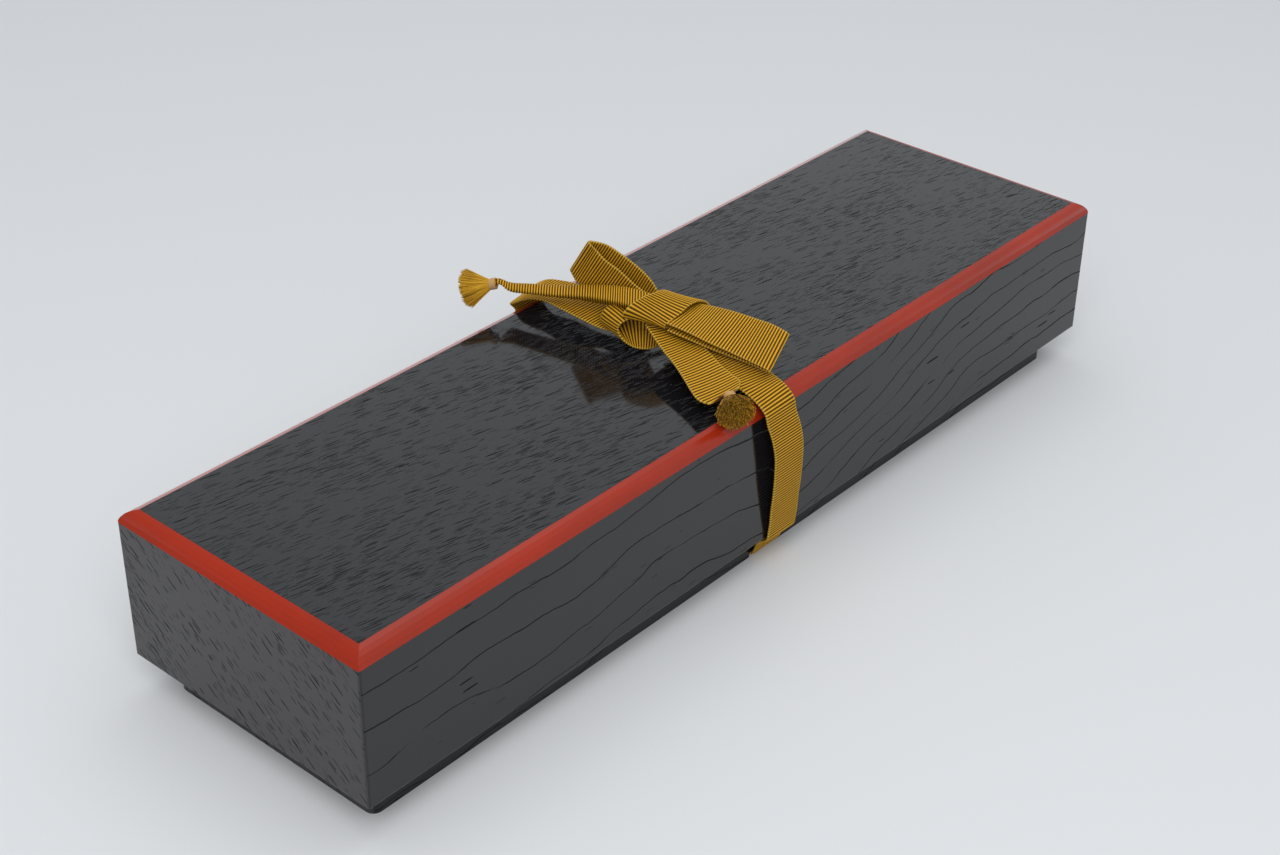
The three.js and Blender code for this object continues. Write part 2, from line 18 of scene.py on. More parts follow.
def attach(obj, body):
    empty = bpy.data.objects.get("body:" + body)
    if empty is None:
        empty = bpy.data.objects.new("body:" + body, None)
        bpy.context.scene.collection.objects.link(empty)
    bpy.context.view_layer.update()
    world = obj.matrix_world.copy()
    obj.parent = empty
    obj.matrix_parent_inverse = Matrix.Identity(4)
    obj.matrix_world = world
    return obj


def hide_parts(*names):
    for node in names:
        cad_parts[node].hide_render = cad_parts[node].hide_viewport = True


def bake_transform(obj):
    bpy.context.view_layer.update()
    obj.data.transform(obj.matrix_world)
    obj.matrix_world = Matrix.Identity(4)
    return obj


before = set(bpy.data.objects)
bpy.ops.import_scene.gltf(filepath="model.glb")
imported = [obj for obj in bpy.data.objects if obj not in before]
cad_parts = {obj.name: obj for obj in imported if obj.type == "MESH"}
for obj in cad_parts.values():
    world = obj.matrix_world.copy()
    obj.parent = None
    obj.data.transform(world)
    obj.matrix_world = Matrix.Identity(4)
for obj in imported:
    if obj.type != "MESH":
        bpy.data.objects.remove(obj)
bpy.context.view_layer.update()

MM = 0.001
LID_TOP = 72.0
NEVER_ZERO = 1e-12
log = logging.getLogger("poetry_slip_box")

Row = list[Vector]
Pieces = list[bpy.types.Object]
Numbers = tuple[float, ...]
Table = tuple[Numbers, ...]


class Body(Enum):
    """The two bodies that pieces ride on."""

    TRAY = "tray"
    LID = "lid"


class Grain(Enum):
    """The way the wood runs under the lacquer."""

    TOP_BOARD = "top board"
    LONG_WALL = "long wall"
    END_WALL = "end wall"


# Benches for nodes.


def sign(operation: str, turned: bool = False) -> Callable[..., "Signal"]:
    """Makes a signal's method for one sign, which adds a Math node.

    Args:
        operation: the node's operation.
        turned: whether the signal comes second.

    Returns:
        The method.
    """

    def added(signal: "Signal", *others: object) -> "Signal":
        """Adds the node."""
        values = (*others, signal) if turned else (signal, *others)
        return signal.bench.math(operation, *values)

    return added


@dataclass(frozen=True)
class Signal:
    """A node's output that sums can be written with."""

    bench: "NodeBench"
    socket: bpy.types.NodeSocket

    __add__ = __radd__ = sign("ADD")
    __sub__, __rsub__ = sign("SUBTRACT"), sign("SUBTRACT", turned=True)
    __mul__ = __rmul__ = sign("MULTIPLY")
    __truediv__, __pow__, __abs__ = sign("DIVIDE"), sign("POWER"), sign("ABSOLUTE")


def from_low(share: Signal, ends: Numbers) -> Signal:
    """Runs from a low end through a range: ends hold the low end and the range."""
    return share * ends[1] + ends[0]


class NodeBench:
    """Adds shader nodes to one tree and joins them."""

    def __init__(self, tree: bpy.types.NodeTree) -> None:
        """Takes the tree of a material, a world or a group."""
        self.tree = tree

    def put(self, inputs: object, key: str | int, value: object) -> None:
        """Joins a signal to an input, or sets its value.

        Args:
            inputs: a node's inputs.
            key: the input's name or number.
            value: a signal, number, colour or vector.
        """
        if isinstance(value, Signal):
            self.tree.links.new(value.socket, inputs[key])
        else:
            inputs[key].default_value = value

    def out(self, output: str | int, kind: str, inputs: dict, **settings: object) -> Signal:
        """Adds one node.

        Args:
            output: name or number of the output that is wanted.
            kind: the node's type without the ShaderNode prefix.
            inputs: values or signals by the input's name or number.
            settings: properties of the node.

        Returns:
            That output.
        """
        node = self.tree.nodes.new("ShaderNode" + kind)
        for name, value in settings.items():
            setattr(node, name, value)
        for key, value in inputs.items():
            self.put(node.inputs, key, value)
        return Signal(self, node.outputs[output])

    def math(self, operation: str, *values: object, clamp: bool = False) -> Signal:
        """Adds a Math node over signals or numbers. Clamp keeps the result from 0 to 1."""
        inputs = dict(enumerate(values))
        return self.out(0, "Math", inputs, operation=operation, use_clamp=clamp)

    def step(self, value: Signal, low: float, high: float) -> Signal:
        """Adds a smooth step from 0 at low to 1 at high.

        Args:
            value: the signal to read.
            low: where the step starts.
            high: where it ends, below low for a falling step.

        Returns:
            The mask.
        """
        rising = low < high
        inputs = {"Value": value, "From Min": min(low, high), "From Max": max(low, high)}
        inputs |= {"To Min": float(not rising), "To Max": float(rising)}
        return self.out("Result", "MapRange", inputs, interpolation_type="SMOOTHSTEP")

    def blend(self, share: Signal, first: object, second: object) -> Signal:
        """Mixes two colours or signals. The share says how much of the second shows."""
        return self.out(2, "Mix", {0: share, 6: first, 7: second}, data_type="RGBA")

    def noise(
        self, place: Signal, scale: float | Numbers, detail: float = 2.0, rough: float = 0.5
    ) -> Signal:
        """Adds a noise texture.

        Args:
            place: where it reads.
            scale: cells to a unit, one number or one for each axis.
            detail: octaves.
            rough: how strongly the small octaves show.

        Returns:
            The noise, about 0.5 on average.
        """
        if isinstance(scale, tuple):
            place, scale = self.stretch(place, scale), 1.0
        inputs = {"Vector": place, "Scale": scale, "Detail": detail, "Roughness": rough}
        return self.out("Fac", "TexNoise", inputs)

    def stretch(
        self, place: Signal, scale: Numbers, turn: float = 0.0, shift: Numbers = (0.0, 0.0, 0.0)
    ) -> Signal:
        """Adds a mapping.

        Args:
            place: where it reads.
            scale: factor on each axis.
            turn: degrees about the third axis, made after the scaling.
            shift: offset.

        Returns:
            The mapped place.
        """
        angles = (0.0, 0.0, math.radians(turn))
        inputs = {"Vector": place, "Location": shift, "Rotation": angles, "Scale": scale}
        return self.out("Vector", "Mapping", inputs)

    def apart(self, vector: Signal) -> tuple[Signal, ...]:
        """Splits a vector or a colour into its three numbers."""
        parts = self.out(0, "SeparateXYZ", {0: vector}).socket.node.outputs
        return tuple(Signal(self, part) for part in parts)

    def together(self, x: Signal, y: Signal, z: object = 0.0) -> Signal:
        """Joins three numbers into a vector."""
        return self.out(0, "CombineXYZ", {0: x, 1: y, 2: z})


class EffectGroup:
    """A node group that several finishes share, built once."""

    def __init__(self, name: str, inputs: dict[str, str], outputs: tuple[str, ...]) -> None:
        """Makes an empty group with its sockets.

        Args:
            name: the group's name.
            inputs: socket type by name.
            outputs: names of the masks and heights that it gives.
        """
        self.tree = bpy.data.node_groups.new(name, "ShaderNodeTree")
        sockets = [(label, "INPUT", kind) for label, kind in inputs.items()]
        for label, way, kind in sockets + [(label, "OUTPUT", "Float") for label in outputs]:
            self.tree.interface.new_socket(label, in_out=way, socket_type="NodeSocket" + kind)
        self.bench = NodeBench(self.tree)
        given = self.tree.nodes.new("NodeGroupInput").outputs
        self.given = [Signal(self.bench, given[label]) for label in inputs]
        self.result = self.tree.nodes.new("NodeGroupOutput").inputs

    def give(self, **signals: Signal) -> None:
        """Joins signals to the group's outputs."""
        for name, signal in signals.items():
            self.bench.put(self.result, name, signal)

    def place(self, bench: NodeBench, **values: object) -> dict[str, Signal]:
        """Places the group in a material.

        Args:
            bench: the material's bench.
            values: values or signals by the input's name.

        Returns:
            The placed node's outputs by name.
        """
        node = bench.tree.nodes.new("ShaderNodeGroup")
        node.node_tree = self.tree
        for key, value in values.items():
            bench.put(node.inputs, key, value)
        return {output.name: Signal(bench, output) for output in node.outputs}


@dataclass(frozen=True)
class PoreCells:
    """Places and sizes of pores, as shares of the unit cell that each lies in.

    Pairs hold a low end and a range. A layer holds its scale, its shift along and across,
    and how wide its pores are.
    """

    layers: Table = ((1.0, 0.0, 0.0, 1.0), (1.37, 3.7, 4.81, 0.9), (1.9, 8.1, 10.53, 0.8))
    last_layer: float = 0.7
    row_stagger: float = 17.0
    middle: Numbers = (0.42, 0.16)
    height: Numbers = (0.28, 0.44)
    half_length: Numbers = (0.14, 0.26)
    half_width: Numbers = (0.13, 0.12)
    squareness: float = 4.0
    sharpness: float = 1.6
    flocks: Numbers = (0.20, 0.05, 1.0)
    flock_edge: Numbers = (0.12, 0.80)
    crowding: float = 1.5
    silk: Numbers = (0.25, 1.2, 1.0)

    def group(self) -> EffectGroup:
        """Makes short level dashes in rows along the vector's X."""
        made = EffectGroup("open_pores", {"Vector": "Vector", "Amount": "Float"}, ("Pore", "Silk"))
        bench, (place, amount) = made.bench, made.given
        flocks = bench.step(bench.noise(place, self.flocks, 1.0), *self.flock_edge)
        share = amount * (flocks * self.crowding)
        layers = []
        for scale, ahead, aside, size in self.layers:
            cells = bench.stretch(place, (scale, scale, 1.0), shift=(ahead, aside, 0.0))
            layers.append(self.dashes(bench, cells, share, scale, size))
        rest = bench.math("MAXIMUM", layers[1], layers[2] * self.last_layer)
        made.give(Pore=bench.math("MAXIMUM", layers[0], rest))
        made.give(Silk=bench.noise(place, self.silk, 2.0, 0.6))
        return made

    def dashes(
        self, bench: NodeBench, cells: Signal, share: Signal, seed: float, size: float
    ) -> Signal:
        """Makes one layer of dashes, one to a cell at most.

        Args:
            bench: the group's bench.
            cells: the place, in cells.
            share: share of the cells that hold a pore.
            seed: tells this layer's draws from the others'.
            size: the pores' width as a share of the full one.

        Returns:
            The mask.
        """
        x, y, _ = bench.apart(cells)
        row = bench.math("FLOOR", y)
        start = bench.out("Value", "TexWhiteNoise", {"W": row}, noise_dimensions="1D")
        x = x + start * self.row_stagger
        cell = {"Vector": bench.together(bench.math("FLOOR", x), row, seed)}
        draws = bench.out("Color", "TexWhiteNoise", cell, noise_dimensions="3D")
        lot, girth, aside = bench.apart(draws)
        along = bench.math("FRACT", x) - from_low(aside, self.middle)
        along = along / from_low(girth, self.half_length)
        across = bench.math("FRACT", y) - from_low(aside, self.height)
        across = across / (from_low(girth, self.half_width) * size)
        near = 1.0 - (abs(along) ** self.squareness + across * across)
        inside = bench.math("MULTIPLY", near, self.sharpness, clamp=True)
        return inside * bench.math("LESS_THAN", lot, share)


class Effects:
    """The shared effects: open pores, rounded arrises, silk threads and settled dust."""

    dust_cells: float = 95.0
    dust_rarity: float = 0.965
    dust_edge: Numbers = (0.045, 0.02)
    strand_cells: Numbers = (0.12, 1.0, 1.0)
    patch_cells: Numbers = (0.02, 0.03, 0.03)

    def __init__(self) -> None:
        """Builds the four groups."""
        self.pores = PoreCells().group()
        self.arris = self.rounded_arris()
        self.threads = self.silk_threads()
        self.dust = self.settled_dust()

    @staticmethod
    def rounded_arris() -> EffectGroup:
        """Makes the height of a rounded edge from the distance to that edge."""
        inputs = {"Distance": "Float", "Radius": "Float"}
        group = EffectGroup("rounded_arris", inputs, ("Height",))
        far, radius = group.given
        rest = 1.0 - group.bench.math("DIVIDE", far, radius, clamp=True)
        group.give(Height=rest * rest * radius * -0.5)
        return group

    def silk_threads(self) -> EffectGroup:
        """Makes fine filaments that run along the vector's X."""
        group = EffectGroup("silk_threads", {"Vector": "Vector"}, ("Shade", "Height"))
        strands = group.bench.noise(group.given[0], self.strand_cells, 2.0, 0.6)
        patches = group.bench.noise(group.given[0], self.patch_cells, 3.0, 0.6)
        group.give(Shade=strands * 0.5 + patches * 0.5, Height=strands)
        return group

    def settled_dust(self) -> EffectGroup:
        """Makes sparse specks of dust."""
        inputs = {"Vector": "Vector", "Amount": "Float"}
        group = EffectGroup("settled_dust", inputs, ("Speck",))
        bench, (place, amount) = group.bench, group.given
        cells = {"Vector": place, "Scale": self.dust_cells, "Randomness": 1.0}
        far = bench.out("Distance", "TexVoronoi", cells)
        lot = bench.apart(Signal(bench, far.socket.node.outputs["Color"]))[0]
        chosen = bench.math("GREATER_THAN", lot, self.dust_rarity)
        group.give(Speck=chosen * bench.step(far, *self.dust_edge) * amount)
        return group


# Finishes.


class Paint:
    """A new material and the bench that it is painted on."""

    def __init__(self, name: str) -> None:
        """Starts a material of that name."""
        self.material = bpy.data.materials.new(name)
        self.material.use_nodes = True
        self.bench = NodeBench(self.material.node_tree)
        self.inputs = self.material.node_tree.nodes["Principled BSDF"].inputs

    def set(self, **values: object) -> None:
        """Sets or joins the shader's inputs, with _ for a space."""
        for name, value in values.items():
            self.bench.put(self.inputs, name.replace("_", " "), value)

    def place(self) -> Signal:
        """Reads the Object coordinates."""
        return self.bench.out("Object", "TexCoord", {})

    def relief(self, height: Signal) -> None:
        """Turns a height in metres into the shader's normal."""
        inputs = {"Height": height, "Strength": 1.0, "Distance": 1.0}
        self.set(Normal=self.bench.out("Normal", "Bump", inputs))


class Finish:
    """What every finish does: it starts a material and covers it."""

    name: str

    def material(self, effects: Effects) -> bpy.types.Material:
        """Builds the material.

        Args:
            effects: the shared node groups.

        Returns:
            The material.
        """
        paint = Paint(self.name)
        self.cover(paint, effects)
        return paint.material

    def cover(self, paint: Paint, effects: Effects) -> None:
        """Sets the shader.

        Args:
            paint: the material in work.
            effects: the shared node groups.
        """
        raise NotImplementedError


@dataclass(frozen=True)
class GrowthLines:
    """Growth lines of a flat-sawn board, level on the left and climbing on the right.

    Lengths are in metres and cells to the metre. Pairs are the ends of a smooth step.
    """

    climb: Numbers = (-0.005, 0.150)
    climb_height: float = 0.036
    swell_up: Numbers = (-0.112, -0.060)
    swell_down: Numbers = (0.0, -0.050)
    swell_height: float = 0.006
    board_gap: float = 3.0
    wide_cells: Numbers = (24.0, 50.0, 1.0)
    wide_sway: float = 0.011
    small_cells: Numbers = (150.0, 220.0, 1.0)
    small_sway: float = 0.0012
    right_part: Numbers = (-0.010, 0.008)
    spacing: float = 0.0143
    right_closer: float = 0.0050
    first: float = 0.0012
    right_higher: float = 0.0038
    force_cells: Numbers = (26.0, 3.7, 1.0)
    line_edge: Numbers = (0.00040, 0.00016)
    line_force: Numbers = (0.30, 0.48)
    knot_edge: Numbers = (0.0024, 0.0010)
    knot_force: Numbers = (0.60, 0.68)
    cut_slope: float = 0.20
    cut_spacing: float = 0.00115
    cut_edge: Numbers = (0.26, 0.14)
    strength: float = 0.8

    def mask(self, bench: NodeBench, x: Signal, y: Signal, z: Signal) -> Signal:
        """Incises the lines.

        Args:
            bench: the material's bench.
            x: place along the wall.
            y: which wall it is.
            z: height on it.

        Returns:
            The mask.
        """
        board = y * self.board_gap
        face = bench.together(x, z, board)
        wide = bench.noise(face, self.wide_cells, 1.0) - 0.5
        small = bench.noise(face, self.small_cells) - 0.5
        swell = bench.step(x, *self.swell_up) * bench.step(x, *self.swell_down)
        height = z - bench.step(x, *self.climb) * self.climb_height - swell * self.swell_height
        height = height + wide * self.wide_sway + small * self.small_sway
        right = bench.step(x, *self.right_part)
        spacing = self.spacing - right * self.right_closer
        count = (height - (self.first + right * self.right_higher)) / spacing + 0.5
        far = abs(bench.math("FRACT", count) - 0.5) * spacing
        ring = bench.together(x, bench.math("FLOOR", count), board)
        force = bench.noise(ring, self.force_cells, 3.0, 0.65)
        line = bench.step(far, *self.line_edge) * bench.step(force, *self.line_force)
        knots = bench.step(force, *self.knot_force) * bench.step(far, *self.knot_edge)
        cuts = bench.math("FRACT", (height + x * self.cut_slope) / self.cut_spacing)
        hatch = knots * bench.step(abs(cuts - 0.5), *self.cut_edge)
        return bench.math("MAXIMUM", line, hatch) * self.strength


@dataclass(frozen=True)
class Board:
    """How the pores lie on one kind of board: their turn in degrees, cells and number."""

    turn: float
    cells: Numbers
    amount: float


BOARDS = {
    Grain.TOP_BOARD: Board(11.0, (85.0, 960.0, 1.0), 0.50),
    Grain.END_WALL: Board(-38.0, (125.0, 900.0, 1.0), 0.20),
    Grain.LONG_WALL: Board(0.0, (80.0, 500.0, 1.0), 0.012),
}


@dataclass(frozen=True)
class BlackLacquer(Finish):
    """Black lacquer over open-grained wood, its pores left as fine hollows."""

    grain: Grain
    colour: Numbers = (0.0060, 0.0065, 0.0085, 1.0)
    hollow: Numbers = (0.0025, 0.0023, 0.0025, 1.0)
    speck: Numbers = (0.35, 0.35, 0.33, 1.0)
    dust: float = 0.55
    roughness: float = 0.07
    silk_roughness: float = 0.04
    hollow_roughness: float = 0.70
    hollow_shade: float = 0.75
    wander_cells: Numbers = (5.0, 8.0, 8.0)
    wander: float = 2.2 * MM
    pore_depth: float = 0.04 * MM
    line_depth: float = 0.12 * MM
    streak: float = 0.004 * MM
    corner: Numbers = (200.0 * MM, 56.75 * MM)
    arris_radius: float = 0.9 * MM
    rim: float = 14.0 * MM
    rim_radius: float = 0.6 * MM

    @property
    def name(self) -> str:
        """Names the material after its board."""
        return "polished_black_" + self.grain.value.replace(" ", "_")

    def cover(self, paint: Paint, effects: Effects) -> None:
        """Sets the shader, as in Finish."""
        bench, place = paint.bench, paint.place()
        pore, silk, line = self.wood(bench, effects, place)
        dust = effects.dust.place(bench, Vector=place, Amount=self.dust)["Speck"]
        low = bench.math("MAXIMUM", pore, line)
        rough = self.roughness + silk * self.silk_roughness
        paint.set(
            Base_Color=bench.blend(dust, bench.blend(low, self.colour, self.hollow), self.speck),
            Roughness=bench.math("ADD", rough, low * self.hollow_roughness, clamp=True),
            Metallic=low * self.hollow_shade,
            IOR=1.5,
        )
        x, y, z = bench.apart(place)
        far = bench.math("MAXIMUM", self.corner[0] - abs(x), self.corner[1] - abs(y))
        arris, radii = effects.arris, (self.arris_radius, self.rim_radius)
        edge = arris.place(bench, Distance=far, Radius=radii[0])["Height"]
        lip = arris.place(bench, Distance=z - self.rim, Radius=radii[1])["Height"]
        cut = pore * -self.pore_depth + line * -self.line_depth
        paint.relief(cut + silk * self.streak + edge + lip)

    def wood(self, bench: NodeBench, effects: Effects, place: Signal) -> tuple[object, ...]:
        """Lays the grain of this board.

        Args:
            bench: the material's bench.
            effects: the shared node groups.
            place: Object coordinates.

        Returns:
            The masks of pores, silk and growth lines.
        """
        x, y, z = bench.apart(place)
        board = BOARDS[self.grain]
        if self.grain is Grain.TOP_BOARD:
            face = bench.together(x, y + bench.noise(place, self.wander_cells, 0.0) * self.wander)
        else:
            face = bench.together(y if self.grain is Grain.END_WALL else x, z)
        if board.turn:
            face = bench.stretch(face, (1.0, 1.0, 1.0), board.turn)
        cells = bench.stretch(face, board.cells)
        made = effects.pores.place(bench, Vector=cells, Amount=board.amount)
        lined = self.grain is Grain.LONG_WALL
        return made["Pore"], made["Silk"], GrowthLines().mask(bench, x, y, z) if lined else 0.0


@dataclass(frozen=True)
class RedLacquer(Finish):
    """Opaque vermilion lacquer on the planted edging."""

    name: str = "vermilion_edging"
    gloss: float = 0.5
    coat: float = 0.0
    coat_roughness: float = 0.06
    colour: Numbers = (0.345, 0.022, 0.005, 1.0)
    dull: Numbers = (0.27, 0.020, 0.006, 1.0)
    dull_edge: Numbers = (0.35, 0.7)
    cloud_cells: Numbers = (18.0, 18.0, 60.0)
    speck: Numbers = (0.5, 0.45, 0.4, 1.0)
    dust: float = 0.4
    dust_shift: Numbers = (0.4, 0.1, 0.0)
    roughness: float = 0.18
    cloud_roughness: float = 0.10
    peel_cells: float = 900.0
    peel: float = 0.006 * MM
    wave_cells: float = 140.0
    wave: float = 0.03 * MM

    def cover(self, paint: Paint, effects: Effects) -> None:
        """Sets the shader, as in Finish."""
        bench, place = paint.bench, paint.place()
        cloud = bench.noise(place, self.cloud_cells, 3.0, 0.6)
        colour = bench.blend(bench.step(cloud, *self.dull_edge), self.colour, self.dull)
        elsewhere = bench.stretch(place, (1.0, 1.0, 1.0), shift=self.dust_shift)
        dust = effects.dust.place(bench, Vector=elsewhere, Amount=self.dust)["Speck"]
        paint.set(
            Base_Color=bench.blend(dust, colour, self.speck),
            Roughness=self.roughness + cloud * self.cloud_roughness,
            Specular_IOR_Level=self.gloss,
            Coat_Weight=self.coat,
            Coat_Roughness=self.coat_roughness,
        )
        peel = bench.noise(place, self.peel_cells, 1.0) * self.peel
        paint.relief(peel + bench.noise(place, self.wave_cells, 1.0) * self.wave)


@dataclass(frozen=True)
class InnerLacquer(Finish):
    """Thinner, duller black on the faces that only show when the lid is off."""

    name: str = "dull_black_inside"
    colour: Numbers = (0.012, 0.011, 0.011, 1.0)
    hollow: Numbers = (0.005, 0.005, 0.005, 1.0)
    roughness: float = 0.38
    silk_roughness: float = 0.12
    cells: Numbers = (110.0, 760.0, 1.0)
    amount: float = 0.5
    pore_depth: float = 0.05 * MM
    streak: float = 0.02 * MM

    def cover(self, paint: Paint, effects: Effects) -> None:
        """Sets the shader, as in Finish."""
        bench = paint.bench
        x, y, z = bench.apart(paint.place())
        cells = bench.stretch(bench.together(x, y + z), self.cells)
        grain = effects.pores.place(bench, Vector=cells, Amount=self.amount)
        paint.set(
            Base_Color=bench.blend(grain["Pore"], self.colour, self.hollow),
            Roughness=self.roughness + grain["Silk"] * self.silk_roughness,
        )
        paint.relief(grain["Pore"] * -self.pore_depth + grain["Silk"] * self.streak)


@dataclass(frozen=True)
class KeyWood(Finish):
    """Bare pale wood of the loose tongues in the mitres."""

    name: str = "bare_key_board"
    light: Numbers = (0.42, 0.27, 0.13, 1.0)
    dark: Numbers = (0.26, 0.15, 0.07, 1.0)
    roughness: float = 0.6
    pore_roughness: float = 0.2
    cells: Numbers = (200.0, 1500.0, 1.0)
    amount: float = 0.4
    streak: float = 0.04 * MM

    def cover(self, paint: Paint, effects: Effects) -> None:
        """Sets the shader, as in Finish."""
        bench = paint.bench
        x, y, z = bench.apart(paint.place())
        cells = bench.stretch(bench.together(z, x + y), self.cells)
        grain = effects.pores.place(bench, Vector=cells, Amount=self.amount)
        paint.set(
            Base_Color=bench.blend(grain["Silk"], self.light, self.dark),
            Roughness=self.roughness + grain["Pore"] * self.pore_roughness,
        )
        paint.relief(grain["Silk"] * self.streak)


@dataclass(frozen=True)
class RibbonSilk(Finish):
    """Mustard silk woven over heavy weft cords, with painted shade: the furrows between them are
    painted dark.

    The pitch is that of the cords, as a share of the ribbon's width.
    """

    pitch: float
    name: str = "mustard_grosgrain"
    crest: Numbers = (0.74, 0.395, 0.018, 1.0)
    # painted shade: the colour painted into the furrows between the cords
    furrow_painted_shade: Numbers = (0.055, 0.016, 0.0005, 1.0)
    selvedge: Numbers = (0.60, 0.37, 0.050, 1.0)
    selvedge_edge: Numbers = (0.468, 0.492)
    selvedge_wave: Numbers = (0.3, 0.6)
    crest_power: float = 1.6
    thread_cells: Numbers = (60.0, 60.0, 1.0)
    tone: Numbers = (0.82, 0.36)
    roughness: float = 0.52
    furrow_roughness: float = 0.2
    warp_count: float = 62.0
    warp_height: float = 0.008 * MM
    silk_height: float = 0.02 * MM
    sheen: Numbers = (1.0, 0.62, 0.10, 1.0)

    def cover(self, paint: Paint, effects: Effects) -> None:
        """Sets the shader, as in Finish."""
        bench = paint.bench
        laid = bench.out("UV", "UVMap", {}, uv_map="ribbon_lay")
        u, v, _ = bench.apart(laid)
        wave = (bench.math("COSINE", v * (math.tau / self.pitch)) + 1.0) * 0.5
        thread = bench.stretch(laid, self.thread_cells)
        silk = effects.threads.place(bench, Vector=thread)
        # painted shade: the furrows are painted near black, the crests keep the silk's own colour
        colour = bench.blend(wave ** self.crest_power, self.furrow_painted_shade, self.crest)
        rim = bench.step(abs(u - 0.5), *self.selvedge_edge) * from_low(wave, self.selvedge_wave)
        colour = bench.blend(rim, colour, self.selvedge)
        toned = {"Color": colour, "Value": from_low(silk["Shade"], self.tone)}
        paint.set(
            Base_Color=bench.out("Color", "HueSaturation", toned),
            Roughness=self.roughness + (1.0 - wave) * self.furrow_roughness,
            Sheen_Weight=0.08,
            Sheen_Roughness=0.35,
            Sheen_Tint=self.sheen,
            Specular_IOR_Level=0.16,
        )
        warp = bench.math("SINE", u * (math.tau * self.warp_count))
        paint.relief(warp * self.warp_height + silk["Height"] * self.silk_height)


@dataclass(frozen=True)
class ThreadSilk(Finish):
    """Floss, loose in a tassel or wound as a binding, each strand with its own tone; in a tassel
    the strands are also painted darker towards the core, as painted shade.
    """

    name: str
    light: Numbers
    dark: Numbers
    thread_cells: float = 9000.0
    strand_share: float = 0.8
    silk_share: float = 0.2
    roughness: float = 0.5
    silk_roughness: float = 0.15
    silk_height: float = 0.01 * MM

    def cover(self, paint: Paint, effects: Effects) -> None:
        """Sets the shader, as in Finish."""
        bench = paint.bench
        strand = bench.out("Fac", "Attribute", {}, attribute_name="strand_tone_and_painted_shade")
        thread = bench.stretch(paint.place(), (self.thread_cells,) * 3)
        silk = effects.threads.place(bench, Vector=thread)
        share = strand * self.strand_share + silk["Shade"] * self.silk_share
        paint.set(
            Base_Color=bench.blend(share, self.dark, self.light),
            Roughness=self.roughness + silk["Shade"] * self.silk_roughness,
            Sheen_Weight=0.04,
            Sheen_Roughness=0.4,
            Specular_IOR_Level=0.15,
        )
        paint.relief(silk["Height"] * self.silk_height)


@dataclass(frozen=True)
class PaleFloor(Finish):
    """Plain pale paper that the box stands on."""

    name: str = "pale_floor"
    colour: Numbers = (0.708, 0.719, 0.730, 1.0)
    shaded: Numbers = (0.692, 0.703, 0.714, 1.0)
    cloud_cells: float = 2.2
    tooth_cells: float = 700.0
    tooth: float = 0.02 * MM

    def cover(self, paint: Paint, effects: Effects) -> None:
        """Sets the shader, as in Finish."""
        bench, place = paint.bench, paint.place()
        cloud = bench.noise(place, self.cloud_cells)
        paint.set(
            Base_Color=bench.blend(cloud, self.colour, self.shaded),
            Roughness=0.85,
            Specular_IOR_Level=0.2,
        )
        paint.relief(bench.noise(place, self.tooth_cells) * self.tooth)


# Curves through stations.


def millimetres(numbers: Numbers) -> Row:
    """Reads points: x, y and the height over the lid's top in millimetres, point after point."""
    places = zip(numbers[0::3], numbers[1::3], numbers[2::3])
    return [Vector((x * MM, y * MM, (z + LID_TOP) * MM)) for x, y, z in places]


def stations(table: Table) -> list[Row]:
    """Reads a table of stations."""
    return [millimetres(row) for row in table]


def smooth_rows(sections: list[Row], steps: int = 16) -> list[Row]:
    """Runs a centripetal spline through stations, each point of a station with its like.

    Args:
        sections: the stations in order.
        steps: rows to each span.

    Returns:
        The rows, close together.
    """
    middles = [sum(row, Vector()) / len(row) for row in sections]
    knots = [0.0]
    for near, far in zip(middles, middles[1:]):
        knots.append(knots[-1] + max(math.sqrt((far - near).length), 1e-4))
    rows, lines = [], list(zip(*sections))
    for span in range(len(sections) - 1):
        for step in range(steps + (span == len(sections) - 2)):
            t = knots[span] + (knots[span + 1] - knots[span]) * step / steps
            rows.append([spline_point(line, knots, span, t) for line in lines])
    return rows


def spline_point(points: Row, knots: list[float], span: int, t: float) -> Vector:
    """Finds one point of the spline.

    Args:
        points: one point of each station.
        knots: the stations' places on the parameter.
        span: number of the span that t lies in.
        t: the parameter.

    Returns:
        The point.
    """

    def mixed(near: Vector, far: Vector, low: float, high: float) -> Vector:
        """Mixes two points by where t lies between their knots."""
        return near * ((high - t) / (high - low)) + far * ((t - low) / (high - low))

    p1, p2, t1, t2 = points[span], points[span + 1], knots[span], knots[span + 1]
    first, last = span == 0, span == len(points) - 2
    p0, t0 = (2 * p1 - p2, 2 * t1 - t2) if first else (points[span - 1], knots[span - 1])
    p3, t3 = (2 * p2 - p1, 2 * t2 - t1) if last else (points[span + 2], knots[span + 2])
    a1, a2, a3 = mixed(p0, p1, t0, t1), mixed(p1, p2, t1, t2), mixed(p2, p3, t2, t3)
    return mixed(mixed(a1, a2, t0, t2), mixed(a2, a3, t1, t3), t1, t2)


def spaced_rows(rows: list[Row], wanted: float | int) -> tuple[list[Row], float]:
    """Spaces rows evenly along the ribbon's middle.

    Args:
        rows: rows close together.
        wanted: the distance between the new rows, or as a whole number how many steps to make.

    Returns:
        The new rows and the ribbon's length.
    """
    middles = [sum(row, Vector()) / len(row) for row in rows]
    marks = [0.0]
    for near, far in zip(middles, middles[1:]):
        marks.append(marks[-1] + (far - near).length)
    count = wanted if isinstance(wanted, int) else max(2, round(marks[-1] / wanted))
    even, at = [], 0
    for number in range(count + 1):
        mark = marks[-1] * number / count
        while at < len(marks) - 2 and marks[at + 1] < mark:
            at += 1
        share = (mark - marks[at]) / max(marks[at + 1] - marks[at], NEVER_ZERO)
        share = min(max(share, 0.0), 1.0)
        even.append([near.lerp(far, share) for near, far in zip(rows[at], rows[at + 1])])
    return even, marks[-1]


